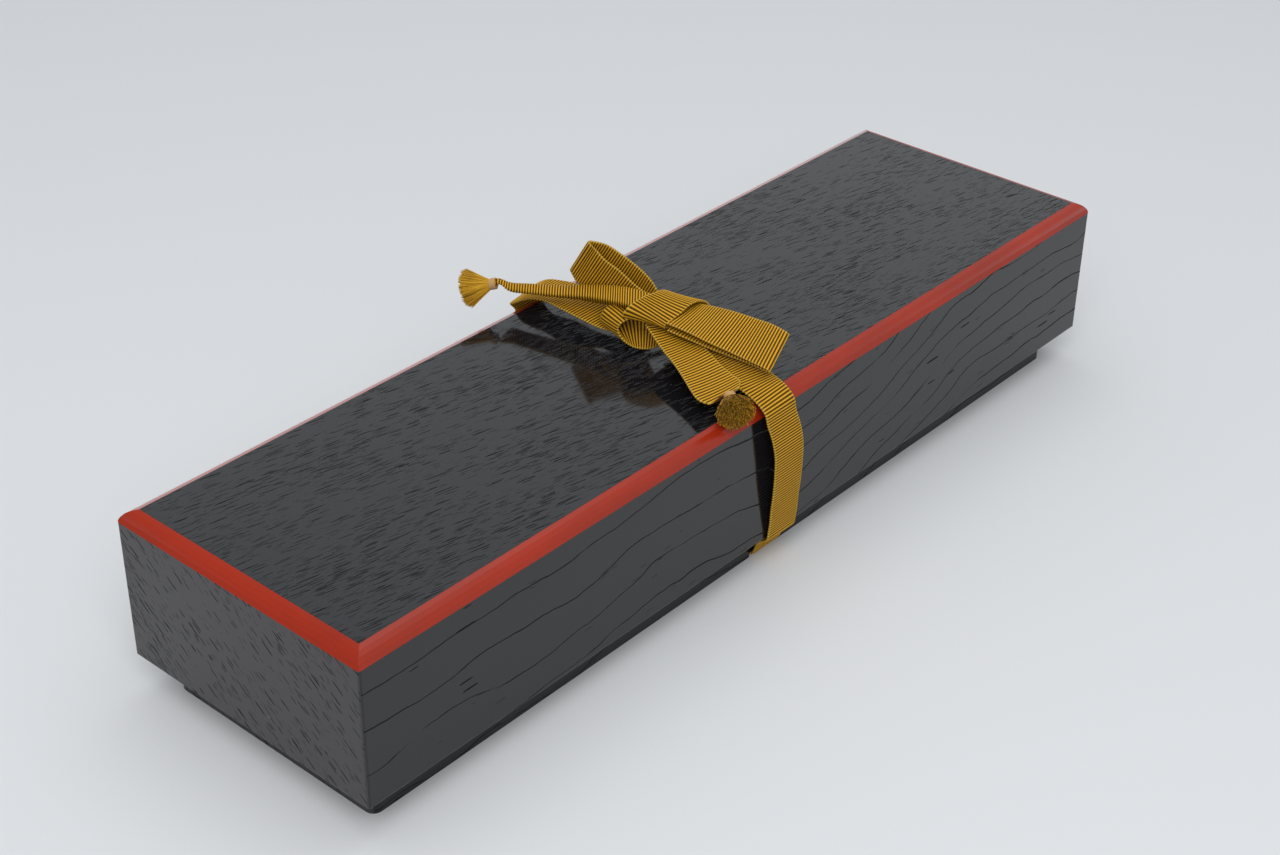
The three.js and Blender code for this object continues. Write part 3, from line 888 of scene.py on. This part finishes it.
def across_row(row: Row, share: float) -> Vector:
    """Finds a point across a row of points that stand evenly apart.

    Args:
        row: the section's points.
        share: 0 at the first edge, 1 at the last.

    Returns:
        The point.
    """
    at = share * (len(row) - 1)
    number = min(int(at), len(row) - 2)
    return row[number].lerp(row[number + 1], at - number)


@dataclass(frozen=True)
class LengthwiseFold:
    """A ribbon folded along its near side: one leaf lies up to a ridge, the other hangs away."""

    width: float
    points: int = 41
    softness: float = 0.6 * MM
    soft_share: float = 0.25
    steps: int = 6
    samples: int = 300

    def section(self, feet: Row, leaf: float, hang: float) -> Row:
        """Finds one section.

        Args:
            feet: foot of the fold underneath, the free edge on top, and the fold's foot on top.
            leaf: how wide the hanging leaf is. What is left of the ribbon turns back inside.
            hang: the angle between the leaves.

        Returns:
            The section from edge to edge.
        """
        low, ridge, near = feet
        foot = (low + near) / 2
        up = ridge - foot
        depth = up.length
        up.normalize()
        out = near - low
        out = (out - up * out.dot(up)).normalized()
        down = up * math.cos(hang) - out * math.sin(hang)
        inside = up * math.sin(hang) + out * math.cos(hang)
        soft = min(self.softness, self.soft_share * depth)
        spare = min(max(self.width - depth - leaf - soft, 0.0), leaf - soft)
        knots = (
            ridge - out * 0.4 * soft,
            ridge - up * soft + out * 0.3 * soft,
            foot + up * depth * 0.5 + out * soft,
            foot + up * soft + out * 0.7 * soft,
            foot - (up + down).normalized() * 0.5 * soft,
            foot + down * soft - inside * 0.7 * soft,
            foot + down * leaf * 0.5 - inside * soft,
            foot + down * (leaf - 0.5 * soft) - inside * 0.3 * soft,
            foot + down * leaf + inside * 0.6 * soft,
            foot + down * (leaf - 0.2 * spare - 0.3 * soft) + inside * soft,
            foot + down * (leaf - max(spare, 0.5 * soft)) + inside * soft,
        )
        curve = smooth_rows([[knot] for knot in knots], self.steps)
        close, _ = spaced_rows(curve, self.width / self.samples)
        even, _ = spaced_rows(close, self.points - 1)
        return [row[0] for row in even]


# The ribbon.


@dataclass(frozen=True)
class Grosgrain:
    """The stock that the whole ribbon is cut from, and the way a length of it is made."""

    width: float = 15.5 * MM
    core: float = 0.46 * MM
    rib_pitch: float = 1.2 * MM
    rib_height: float = 0.24 * MM
    rows_to_a_rib: int = 6
    selvedge: float = 0.03
    selvedge_rib: float = 0.75
    columns: Numbers = (0.0, 0.02, 0.06, 0.15, 0.27, 0.39, 0.5, 0.61, 0.73, 0.85, 0.94, 0.98, 1.0)

    def lay(
        self, name: str, sections: list[Row], cup: float = 0.0, eased: float = 1.0
    ) -> tuple[bpy.types.Object, float]:
        """Lays a length of ribbon through its stations.

        Args:
            name: the piece's name.
            sections: the stations in order, in metres.
            cup: how far the middle stands above the edges.
            eased: how far the ribs stand apart in this length, as a share of the stock's pitch.

        Returns:
            The piece and its length.
        """
        pitch = self.rib_pitch * eased
        rows, length = spaced_rows(smooth_rows(sections), pitch / self.rows_to_a_rib)
        points, steps = len(sections[0]), len(rows) - 1
        columns = self.columns
        if points > 2:
            columns = tuple(number / (points - 1) for number in range(points))
        last = len(columns) - 1
        bpy.ops.mesh.primitive_grid_add(x_subdivisions=last, y_subdivisions=steps, size=1.0)
        piece = bpy.context.object
        piece.name = name
        layer = piece.data.uv_layers[0]
        layer.name = "ribbon_lay"
        for corner in layer.data:
            column = columns[min(round(corner.uv.x * last), last)]
            corner.uv = (column, corner.uv.y * (length / eased) / self.width)
        ribs = piece.vertex_groups.new(name="ribs")
        for vertex in piece.data.vertices:
            number = round((vertex.co.y + 0.5) * steps)
            share = columns[min(round((vertex.co.x + 0.5) * last), last)]
            vertex.co = self.on_row(rows, number, share, cup)
            wave = 0.5 + 0.5 * math.cos(math.tau * length * number / steps / pitch)
            on_selvedge = min(share, 1.0 - share) < self.selvedge
            ribs.add([vertex.index], wave * (self.selvedge_rib if on_selvedge else 1.0), "REPLACE")
        self.thicken(piece)
        return piece, length

    @staticmethod
    def on_row(rows: list[Row], number: int, share: float, cup: float) -> Vector:
        """Places one vertex.

        Args:
            rows: the even rows.
            number: the row's number.
            share: the place across it.
            cup: how far the middle stands above the edges.

        Returns:
            The place.
        """
        point = across_row(rows[number], share)
        if not cup:
            return point
        before, after = rows[max(number - 1, 0)], rows[min(number + 1, len(rows) - 1)]
        along = across_row(after, share) - across_row(before, share)
        normal = (rows[number][-1] - rows[number][0]).cross(along)
        if normal.length < NEVER_ZERO:
            return point
        return point + normal.normalized() * cup * (1.0 - (2.0 * share - 1.0) ** 2)

    def thicken(self, piece: bpy.types.Object) -> None:
        """Gives the laid sheet its thickness and its ribs.

        Args:
            piece: the laid sheet.
        """
        wall = piece.modifiers.new("thickness", "SOLIDIFY")
        wall.thickness, wall.offset = self.core, 0.0
        bpy.ops.object.modifier_apply(modifier=wall.name)
        ribs = piece.modifiers.new("ribs", "DISPLACE")
        ribs.strength, ribs.mid_level, ribs.vertex_group = self.rib_height, 0.0, "ribs"
        bpy.ops.object.modifier_apply(modifier=ribs.name)
        bpy.ops.object.shade_smooth()


@dataclass
class TiedRibbon:
    """One length of ribbon round the box, tied in a bow on the lid.

    Sizes are in millimetres. A station holds x, y and the height over the lid's top, for one
    edge and then for the other. The rear tail's hold the fold's foot, the free edge and the
    foot on top, and rear_leaf the hanging leaf's width and angle. The side runs hold middle,
    stand-off and level as shares of the ribbon's width and the side's height, and turn_in
    holds shares of the tray's inset and of the rise to the rim.
    """

    stock: Grosgrain = field(default_factory=Grosgrain)
    side_y: float = 56.75
    rim_z: float = 14.0
    side_height: float = 58.0
    under_z: float = 1.1
    under_y: Numbers = (44.5, 25.75)
    tray_inset: float = 9.0
    under_shift: float = 3.0
    rib_slant: float = 1.0

    front_lid_run: Table = (
        (-7.0, -6.5, 6.0, 7.4, -9.5, 8.0),
        (-6.2, -20.0, 7.15, 8.8, -22.0, 8.0),
        (-9.3, -33.6, 5.4, 5.8, -35.5, 6.2),
        (-13.9, -45.8, 3.8, 1.4, -48.6, 3.8),
        (-14.8, -51.7, 3.0, 0.7, -52.3, 3.3),
        (-15.5, -56.7, 1.5, -0.1, -56.5, 2.4),
        (-15.6, -59.7, -1.0, -0.2, -59.9, -0.4),
    )
    rear_lid_run: Table = (
        (-17.6, 59.8, -1.6, -2.2, 60.3, 0.2),
        (-19.8, 56.0, 1.2, -4.6, 55.6, 4.4),
        (-20.4, 51.6, 4.2, -5.2, 50.4, 7.2),
        (-19.2, 48.4, 5.6, -4.0, 45.8, 7.8),
        (-17.8, 42.9, 6.4, -2.6, 40.5, 8.0),
        (-18.4, 33.0, 6.8, -3.0, 31.5, 8.2),
        (-17.8, 24.0, 5.8, -2.4, 22.0, 7.6),
        (-15.6, 16.0, 4.0, -0.6, 12.5, 7.2),
        (-14.0, 9.0, 4.6, -0.5, 5.5, 7.6),
    )
    front_side_run: Table = (
        (-0.45, 0.24, 0.9), (-0.32, 0.285, 0.79), (-0.21, 0.305, 0.66), (-0.15, 0.28, 0.53),
        (-0.11, 0.23, 0.36), (-0.08, 0.17, 0.24), (-0.04, 0.12, 0.12), (-0.02, 0.07, 0.03),
    )
    rear_side_run: Table = (
        (-0.42, 0.24, 0.9), (-0.36, 0.29, 0.79), (-0.3, 0.3, 0.66), (-0.22, 0.27, 0.53),
        (-0.15, 0.22, 0.36), (-0.1, 0.16, 0.24), (-0.05, 0.11, 0.12), (-0.02, 0.07, 0.03),
    )
    turn_in: Table = (
        (-0.12, 1.11), (-0.09, 0.98), (0.1, 0.84), (0.34, 0.74), (0.6, 0.52), (0.76, 0.26),
        (0.9, 0.07),
    )
    knot_wrap: Table = (
        (6.4, 0.5, 8.5, 11.4, -12.0, 5.8),
        (4.8, -0.6, 13.4, 10.8, -13.0, 10.2),
        (0.8, -1.8, 18.4, 9.0, -14.0, 14.4),
        (-4.0, -3.2, 22.0, 5.6, -14.6, 17.8),
        (-9.0, -4.0, 23.6, 1.6, -14.6, 19.6),
        (-12.6, -2.0, 22.8, -2.2, -13.9, 19.2),
        (-15.9, 0.3, 20.9, -6.7, -13.1, 17.2),
        (-18.7, 1.6, 18.4, -11.1, -11.2, 14.6),
        (-19.4, 2.6, 15.9, -11.6, -10.4, 12.9),
        (-17.8, 2.8, 14.8, -9.8, -10.0, 12.0),
    )
    half_knot: Table = (
        (-11.5, 1.5, 12.2, -9.5, 12.6, 13.0),
        (-15.5, 3.0, 12.6, -13.0, 13.8, 13.4),
        (-18.2, 4.4, 11.4, -15.6, 14.8, 11.8),
        (-18.9, 5.0, 8.8, -16.2, 15.6, 8.2),
        (-18.3, 3.4, 5.8, -15.5, 13.6, 6.2),
        (-16.6, -0.4, 3.2, -8.6, 9.4, 7.2),
        (-13.2, -3.7, 2.2, -2.4, 4.6, 7.8),
        (-9.0, -5.2, 2.1, 2.0, 2.4, 7.4),
        (-3.2, -6.2, 2.6, 5.4, -1.2, 5.8),
    )
    front_loop: Table = (
        (-12.0, -12.0, 15.2, 3.3, -12.4, 17.0),
        (-10.9, -20.5, 14.5, 4.2, -19.4, 18.1),
        (-9.5, -28.7, 13.0, 4.7, -28.3, 19.2),
        (-6.9, -36.9, 11.0, 6.5, -36.6, 18.8),
        (-5.2, -44.8, 9.5, 6.9, -44.2, 19.1),
        (-4.4, -50.2, 8.7, 8.0, -48.5, 17.8),
        (-4.01, -51.12, 8.2, 8.39, -49.42, 17.3),
        (-3.47, -51.31, 7.44, 8.93, -49.61, 16.54),
        (-3.09, -50.65, 6.86, 9.31, -48.95, 15.96),
        (-3.1, -49.53, 6.8, 9.3, -47.83, 15.9),
        (-3.39, -44.21, 7.18, 8.71, -43.61, 16.78),
        (-5.23, -36.24, 8.11, 8.17, -35.94, 15.91),
        (-8.09, -28.16, 9.73, 6.11, -27.76, 15.93),
        (-10.12, -20.41, 11.19, 4.98, -19.31, 14.79),
        (-11.65, -12.03, 12.22, 3.65, -12.43, 14.02),
    )
    rear_loop: Table = (
        (-5.79, 10.38, 6.98, -4.59, 3.38, 17.98),
        (-6.59, 15.98, 9.48, -5.39, 8.98, 20.38),
        (-8.39, 22.98, 12.18, -6.79, 15.78, 24.58),
        (-10.62, 28.27, 14.68, -8.72, 20.67, 27.68),
        (-12.66, 30.88, 16.92, -9.86, 23.78, 30.92),
        (-13.39, 32.3, 19.96, -11.79, 24.7, 33.56),
        (-12.59, 33.6, 20.26, -10.89, 26.1, 33.86),
        (-10.79, 33.1, 19.96, -9.39, 25.3, 33.46),
        (-7.59, 29.9, 18.36, -5.99, 22.1, 31.96),
        (-5.19, 24.5, 15.96, -3.59, 17.1, 28.96),
        (-2.93, 17.33, 12.96, -1.93, 10.33, 25.36),
        (-2.06, 11.75, 9.97, -0.86, 5.55, 21.77),
        (-1.92, 8.67, 7.48, -0.52, 2.47, 18.28),
    )
    rear_tail: Table = (
        (-11.13, -3.45, 16.8, -5.98, 0.91, 19.88, -11.43, -3.9, 18.4),
        (-13.13, 3.75, 16.6, -7.58, 8.51, 19.88, -13.43, 3.5, 18.2),
        (-14.08, 13.84, 15.4, -8.91, 18.27, 18.06, -14.38, 13.59, 17.0),
        (-16.13, 24.33, 13.9, -11.87, 27.98, 15.9, -16.43, 24.08, 15.5),
        (-19.62, 33.63, 12.4, -16.12, 36.63, 14.25, -19.92, 33.38, 14.0),
        (-22.87, 43.29, 11.2, -19.9, 45.83, 13.02, -23.17, 43.04, 12.8),
        (-25.78, 52.09, 10.4, -23.65, 53.92, 12.16, -26.08, 51.84, 12.0),
        (-25.7, 55.62, 11.23, -25.01, 56.2, 12.93, -26.76, 54.71, 12.88),
        (-25.84, 57.09, 11.64, -26.22, 56.77, 12.79, -27.17, 55.96, 12.39),
        (-26.8, 58.85, 11.06, -27.22, 58.5, 12.11, -28.13, 57.72, 11.71),
    )
    rear_leaf: Table = (
        (8.0, 56.0), (8.0, 57.0), (8.2, 54.0), (8.0, 50.0), (6.8, 44.0), (6.4, 42.0), (5.8, 44.0),
        (3.4, 42.0), (1.9, 40.0), (1.6, 40.0),
    )
    front_tail: Table = (
        (-13.6, -3.4, 12.0, -3.2, -4.6, 9.4),
        (-19.6, -15.4, 10.5, -4.6, -15.4, 8.5),
        (-24.0, -26.0, 9.0, -8.6, -27.5, 9.0),
        (-27.6, -33.4, 7.7, -12.4, -36.8, 8.4),
        (-30.6, -39.0, 6.8, -14.2, -43.2, 7.9),
        (-32.7, -43.4, 6.5, -14.8, -46.9, 7.6),
        (-33.0, -46.4, 6.5, -16.3, -48.9, 7.5),
        (-31.7, -48.6, 6.6, -18.9, -50.1, 7.4),
        (-28.6, -49.0, 6.8, -21.4, -50.5, 7.3),
        (-26.25, -48.95, 7.0, -22.9, -50.5, 7.3),
        (-25.4, -49.95, 7.1, -23.85, -50.8, 7.2),
        (-26.2, -51.65, 7.05, -24.7, -52.4, 7.15),
    )

    def flat_row(self, x: float, y: float, z: float) -> Row:
        """Makes a station that lies level along X, at a height over the table."""
        half, over = self.stock.width / MM / 2, z - LID_TOP
        return millimetres((x - half, y, over, x + half, y, over))

    def side_stations(self, shares: Table, way: float) -> list[Row]:
        """Reads the stations of a run down a long side.

        Args:
            shares: the run's table.
            way: -1 for the front, 1 for the rear.

        Returns:
            The stations from the lid's edge down.
        """
        width, rows = self.stock.width / MM, []
        for middle, off, level in shares:
            y, z = way * (self.side_y + off * width), self.rim_z + level * self.side_height
            rows.append(self.flat_row(middle * width, y, z))
        return rows

    def under_stations(self, way: float) -> list[Row]:
        """Reads the stations that turn under the tray from one side.

        Args:
            way: -1 for the front, 1 for the rear.

        Returns:
            The stations from the side inwards.
        """
        rise = self.rim_z - self.under_z
        places = [
            (self.side_y - share * self.tray_inset, self.under_z + level * rise)
            for share, level in self.turn_in
        ]
        rows = []
        for y, z in places + [(y, self.under_z) for y in self.under_y]:
            shift = self.under_shift * min(1.0, (self.side_y - y) / self.tray_inset)
            rows.append(self.flat_row(shift, way * y, z))
        return rows

    def round_the_box(self) -> list[Row]:
        """Joins the runs into one length: knot, front, under, rear, knot."""
        front = stations(self.front_lid_run) + self.side_stations(self.front_side_run, -1.0)
        rear = stations(self.rear_lid_run)[::-1] + self.side_stations(self.rear_side_run, 1.0)
        return front + self.under_stations(-1.0) + (rear + self.under_stations(1.0))[::-1]

    def wrap_stations(self) -> list[Row]:
        """Reads the wrap's stations, each slanted along the wrap so that its ribs lie askew."""
        here = stations(self.knot_wrap)
        beyond = [end * 2 - start for start, end in zip(*here[-2:])]
        ahead = here[1:] + [beyond]
        return [[row[0], row[1].lerp(far[1], self.rib_slant)] for row, far in zip(here, ahead)]

    def rear_tail_stations(self) -> list[Row]:
        """Reads the rear tail's stations, folded lengthwise."""
        fold = LengthwiseFold(self.stock.width)
        return [
            fold.section(feet, leaf * MM, math.radians(hang))
            for feet, (leaf, hang) in zip(stations(self.rear_tail), self.rear_leaf)
        ]

    def build(self, silk: bpy.types.Material, ends: dict[str, Pieces]) -> None:
        """Lays every length.

        Args:
            silk: the ribbon's material.
            ends: the binding and tassel of each tail; not used.
        """
        band, length = self.stock.lay("ribbon_round_the_box", self.round_the_box())
        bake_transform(band)
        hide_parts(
            "ribbon_under_run", "ribbon_front_side_run", "ribbon_rear_side_run",
            "ribbon_front_lid_run", "ribbon_rear_lid_run",
        )
        pieces, wrap, tail = [band], self.wrap_stations(), self.rear_tail_stations()
        knot, front_loop = stations(self.half_knot), stations(self.front_loop)
        rear_loop, front_tail = stations(self.rear_loop), stations(self.front_tail)
        for name, node, rows, cup, eased, held, below in (
            ("wrap_over_knot", "knot_wrap", wrap, 0.3, 0.96, "folded", "ribbon_half_knot_turn"),
            ("half_knot_turn", "half_knot", knot, 0.2, 0.96, "folded", "lid_panel"),
            ("front_loop_leaf", "front_loop", front_loop, 0.0, 0.92, "folded", band.name),
            ("rear_loop_leaf", "rear_loop", rear_loop, 0.0, 0.85, "folded", band.name),
            ("front_tail_leaf", "front_tail", front_tail, 0.35, 1.12, "laid", band.name),
            ("rear_tail_fold", "rear_tail", tail, 0.0, 0.90, "folded", band.name),
        ):
            piece, length = self.stock.lay("ribbon_" + name, rows, cup * MM, eased)
            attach(piece, Body.LID.value)
            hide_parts("ribbon_" + node)
            pieces.append(piece)
        for piece in pieces:
            wear(piece, silk)


def wear(piece: bpy.types.Object, finish: bpy.types.Material) -> None:
    """Puts one finish on a piece, and says so.

    Args:
        piece: a piece of the scene or a node of the frame.
        finish: its material.
    """
    piece.data.materials.clear()
    piece.data.materials.append(finish)
    log.info("%s wears %s, %d faces", piece.name, finish.name, len(piece.data.polygons))


# Bindings and tassels.


@dataclass
class TailEnd:
    """The thread binding and the tassel at the end of one tail.

    The centre, with its height over the lid's top, and looseness, tassel_start and sway are
    in millimetres. The painted core and rim shades paint shade into the tassel: its strands run
    from dark at the core, deep in one another's shade, to light at the rim.
    """

    name: str
    centre: Numbers
    direction: Numbers
    tassel_radius: float
    flare: float
    seed: int
    painted_core_shade: float
    painted_rim_shade: float
    shade_spread: float = 0.2
    shade_power: float = 1.6
    binding_length: float = 4.2 * MM
    binding_inner: float = 1.55 * MM
    binding_shade: float = 0.75
    thread: float = 0.31 * MM
    turns: int = 7
    steps_to_a_turn: int = 22
    looseness: float = 0.02
    tassel_draws: int = 11
    tassel_start: float = 0.42
    tassel_length: float = 11.8 * MM
    tassel_neck: float = 1.3 * MM
    sway: float = 0.8
    rounding: float = 0.10
    shortest: float = 0.88
    strands: int = 1300
    strand_steps: int = 6
    strand_radius: float = 0.115 * MM

    def axes(self) -> tuple[Vector, Vector, Vector, Vector]:
        """Finds the end's middle, its direction and two directions across it."""
        middle = millimetres(self.centre)[0]
        ahead = Vector(self.direction).normalized()
        aside = ahead.cross(Vector((0.0, 0.0, 1.0))).normalized()
        return middle, ahead, aside, aside.cross(ahead)

    def wound(self) -> bpy.types.Object:
        """Winds the thread round the gathered end of the tail."""
        middle, ahead, aside, above = self.axes()
        points, chance = [], random.Random(self.seed)
        radius, count = self.binding_inner + self.thread, self.turns * self.steps_to_a_turn
        for step in range(count + 1):
            angle = 2.0 * math.pi * step / self.steps_to_a_turn
            along = (step / count - 0.5) * (self.binding_length - 2.0 * self.thread)
            loose = radius + chance.uniform(-self.looseness, self.looseness) * MM
            out = aside * math.cos(angle) + above * math.sin(angle)
            points.append(middle + ahead * along + out * loose)
        return tubes(f"binding_{self.name}_winding", [points], self.thread, 2, [self.binding_shade])

    def floss(self) -> bpy.types.Object:
        """Fans the strands of the tassel out from the binding."""
        middle, ahead, aside, above = self.axes()
        chance = random.Random(self.seed + self.tassel_draws)
        start = middle + ahead * self.tassel_start * MM
        lines, shades = [], []
        growth, rise = self.tassel_radius - self.tassel_neck, self.painted_rim_shade - self.painted_core_shade
        for _ in range(self.strands):
            angle, share = chance.uniform(0.0, 2.0 * math.pi), math.sqrt(chance.random())
            out = aside * math.cos(angle) + above * math.sin(angle)
            length = self.tassel_length * (1.0 - self.rounding * share * share)
            length = length * chance.uniform(self.shortest, 1.0)
            sway = aside * chance.uniform(-1, 1) + above * chance.uniform(-1, 1)
            sway = sway * self.sway * MM
            line = []
            for step in range(self.strand_steps + 1):
                t = step / self.strand_steps
                spread = self.tassel_neck + growth * t ** self.flare
                line.append(start + ahead * length * t + out * spread * share + sway * t * t)
            lines.append(line)
            # painted shade: strands nearer the core are painted darker
            shade = self.painted_core_shade + rise * share ** self.shade_power
            shades.append(min(1.0, max(0.0, chance.gauss(shade, self.shade_spread))))
        return tubes(f"tassel_{self.name}_floss", lines, self.strand_radius, 0, shades)

    def build(self, thread: bpy.types.Material, floss: bpy.types.Material) -> Pieces:
        """Makes the binding and the tassel.

        Args:
            thread: the binding's material.
            floss: the tassel's material.

        Returns:
            The two pieces.
        """
        binding, tassel = self.wound(), self.floss()
        for piece, material, slot, node in (
            (binding, thread, "binding_thread", "binding_thread_" + self.name),
            (tassel, floss, "tassel_silk", "tassel_" + self.name),
        ):
            wear(piece, material)
            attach(piece, Body.LID.value)
            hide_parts(node)
        return [binding, tassel]


def tubes(
    name: str, lines: list[Row], radius: float, roundness: int, shades: list[float]
) -> bpy.types.Object:
    """Makes one mesh of round threads.

    Args:
        name: the piece's name.
        lines: points of each thread.
        radius: the threads' radius.
        roundness: the curve's bevel resolution.
        shades: a tone for each thread, from 0 to 1, with the tassels' painted shade in it.

    Returns:
        The piece.
    """
    curve = bpy.data.curves.new(name, "CURVE")
    curve.dimensions, curve.use_fill_caps = "3D", True
    curve.bevel_depth, curve.bevel_resolution = radius, roundness
    for line in lines:
        spline = curve.splines.new("POLY")
        spline.points.add(len(line) - 1)
        for point, place in zip(spline.points, line):
            point.co = (*place, 1.0)
    piece = bpy.data.objects.new(name, curve)
    bpy.context.scene.collection.objects.link(piece)
    bpy.ops.object.select_all(action="DESELECT")
    piece.select_set(True)
    bpy.context.view_layer.objects.active = piece
    bpy.ops.object.convert(target="MESH")
    piece = bpy.context.object
    count = len(piece.data.vertices) // len(lines)
    shade = piece.data.attributes.new("strand_tone_and_painted_shade", "FLOAT", "POINT")
    for number, item in enumerate(shade.data):
        item.value = shades[min(number // count, len(shades) - 1)]
    bpy.ops.object.shade_smooth()
    return piece


# The box.


@dataclass
class LacquerBox:
    """The lid and the tray, kept from the frame, with their finishes."""

    edging_round: float = 0.22 * MM
    round_steps: int = 2
    sharp: float = math.radians(25.0)
    weld: float = 0.01 * MM

    def dress(self, effects: Effects) -> None:
        """Gives every board its finish.

        Args:
            effects: the shared node groups.
        """
        # painted light: the walls' black is painted lighter than the top's, a little on the long
        # walls and much on the end walls, for the light that falls on each face
        long_wall_painted_light = BlackLacquer(Grain.LONG_WALL, colour=(0.0085, 0.0085, 0.0105, 1.0))
        end_wall_painted_light = BlackLacquer(
            Grain.END_WALL, colour=(0.031, 0.028, 0.030, 1.0), roughness=0.30, hollow_shade=0.6
        )
        end_red = RedLacquer("vermilion_edging_end", gloss=0.15)
        finishes = (
            (BlackLacquer(Grain.TOP_BOARD), ("lid_panel",)),
            (RedLacquer(gloss=0.32), ("lid_edging_front",)),
            (RedLacquer("vermilion_edging_rear", coat=1.0), ("lid_edging_rear",)),
            (end_red, ("lid_edging_left", "lid_edging_right")),
            (InnerLacquer(), ("tray_bottom",)),
            (long_wall_painted_light, self.walls("front", "rear")),
            (end_wall_painted_light, self.walls("left", "right")),
            (KeyWood(), tuple(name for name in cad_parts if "mitre_key" in name)),
        )
        for finish, names in finishes:
            material = finish.material(effects)
            for name in names:
                wear(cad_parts[name], material)
        for name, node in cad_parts.items():
            if name.startswith("lid_edging"):
                self.soften(node)

    @staticmethod
    def walls(*sides: str) -> tuple[str, ...]:
        """Names the walls of the lid and the tray on some sides."""
        return tuple(f"{part}_{side}_wall" for part in ("lid", "tray") for side in sides)

    def soften(self, node: bpy.types.Object) -> None:
        """Rounds the arrises of a strip of edging.

        Args:
            node: the strip.
        """
        weld = node.modifiers.new("weld", "WELD")
        weld.merge_threshold = self.weld
        bevel = node.modifiers.new("arris", "BEVEL")
        bevel.width, bevel.segments = self.edging_round, self.round_steps
        bevel.limit_method, bevel.angle_limit = "ANGLE", self.sharp


# The studio.


@dataclass
class Studio:
    """Floor, soft light and the camera. Angles are in degrees."""

    floor_size: float = 14.0
    room: Numbers = (0.935, 0.96, 1.0, 1.0)
    room_low: float = 0.13
    room_rise: float = 0.56
    room_top: float = 0.9
    room_shown: float = 0.88
    camera_at: Numbers = (-0.51309, -0.43527, 0.45910)
    yaw: float = 40.985
    pitch: float = -32.336
    roll: float = 0.670
    sensor: float = 36.0
    lens: float = 60.30

    def build(self, effects: Effects) -> None:
        """Sets the stage.

        Args:
            effects: the shared node groups.
        """
        bpy.ops.mesh.primitive_plane_add(size=self.floor_size)
        floor = bpy.context.object
        floor.name = "floor"
        floor.data.materials.append(PaleFloor().material(effects))
        self.light()
        self.stand_camera()

    def light(self) -> None:
        """Hangs the soft lamps and lights the room evenly."""
        world = bpy.data.worlds.new("bright_room")
        world.use_nodes = True
        bench, back = NodeBench(world.node_tree), world.node_tree.nodes["Background"]
        camera = bench.out("Is Camera Ray", "LightPath", {})
        rays = camera.socket.node.outputs
        glossy, through = (
            Signal(bench, rays[f"Is {kind} Ray"]) for kind in ("Glossy", "Transmission")
        )
        seen = bench.math("MAXIMUM", camera, bench.math("MAXIMUM", glossy, through))
        height = bench.apart(bench.out("Generated", "TexCoord", {}))[2]
        sky = self.room_low + bench.step(height, 0.0, self.room_top) * self.room_rise
        bench.put(back.inputs, "Color", self.room)
        bench.put(back.inputs, "Strength", sky + seen * (self.room_shown - sky))
        bpy.context.scene.world = world
        for name, place, size, power in (
            ("overhead_softbox", (0.15, 0.05, 1.5), 1.6, 5.0),
            ("near_softbox", (-1.15, -1.05, 1.5), 1.5, 24.0),
        ):
            lamp = bpy.data.lights.new(name, "AREA")
            lamp.shape, lamp.size, lamp.energy = "DISK", size, power
            stand = bpy.data.objects.new(name, lamp)
            stand.location = place
            stand.rotation_euler = (-Vector(place)).to_track_quat("-Z", "Y").to_euler()
            bpy.context.scene.collection.objects.link(stand)

    def stand_camera(self) -> None:
        """Stands the camera where the photograph was taken from."""
        yaw, pitch, roll = (math.radians(angle) for angle in (self.yaw, self.pitch, self.roll))
        level = math.cos(pitch)
        ahead = Vector((level * math.cos(yaw), level * math.sin(yaw), math.sin(pitch)))
        right = Vector((math.sin(yaw), -math.cos(yaw), 0.0))
        above = right.cross(ahead)
        aside = right * math.cos(roll) + above * math.sin(roll)
        upward = above * math.cos(roll) - right * math.sin(roll)
        lens = bpy.data.cameras.new("camera")
        lens.sensor_fit, lens.sensor_width, lens.lens = "HORIZONTAL", self.sensor, self.lens
        lens.clip_start, lens.clip_end = 0.01, 50.0
        camera = bpy.data.objects.new("camera", lens)
        axes = Matrix((aside, upward, -ahead)).transposed().to_4x4()
        camera.matrix_world = Matrix.Translation(Vector(self.camera_at)) @ axes
        bpy.context.scene.collection.objects.link(camera)
        bpy.context.scene.camera = camera


def main() -> None:
    """Builds the dressed box, piece by piece."""
    logging.basicConfig(level=logging.INFO, format="%(name)s: %(message)s")
    bpy.ops.object.select_all(action="DESELECT")
    effects = Effects()
    Studio().build(effects)
    LacquerBox().dress(effects)
    thread = ThreadSilk("wound_thread", (0.58, 0.36, 0.16, 1.0), (0.34, 0.18, 0.06, 1.0))
    # painted shade: the loose floss runs to its dark colour towards each tassel's core
    floss = ThreadSilk("loose_floss", (0.82, 0.46, 0.030, 1.0), (0.085, 0.026, 0.0015, 1.0))
    # painted shade: the front tassel, seen end-on, is painted darker at core and rim than the rear
    # one
    front = TailEnd(
        "front", (-25.6, -52.3, 7.1), (-0.62, -0.78, -0.08), tassel_radius=6.6 * MM, flare=0.58,
        seed=5, painted_core_shade=-0.3, painted_rim_shade=0.68, tassel_length=9.6 * MM,
    )
    rear = TailEnd(
        "rear", (-27.5, 58.5, 11.5), (-0.46, 0.84, -0.3), tassel_radius=6.8 * MM, flare=0.95,
        seed=9, painted_core_shade=0.35, painted_rim_shade=0.95, binding_length=3.0 * MM, turns=5,
    )
    wound, loose = thread.material(effects), floss.material(effects)
    ends = {"front_tail_leaf": front.build(wound, loose)}
    ends["rear_tail_fold"] = rear.build(wound, loose)
    ribbon = TiedRibbon()
    silk = RibbonSilk(ribbon.stock.rib_pitch / ribbon.stock.width)
    ribbon.build(silk.material(effects), ends)
    bpy.context.scene.view_settings.view_transform = "Standard"


if __name__ == "__main__":
    main()
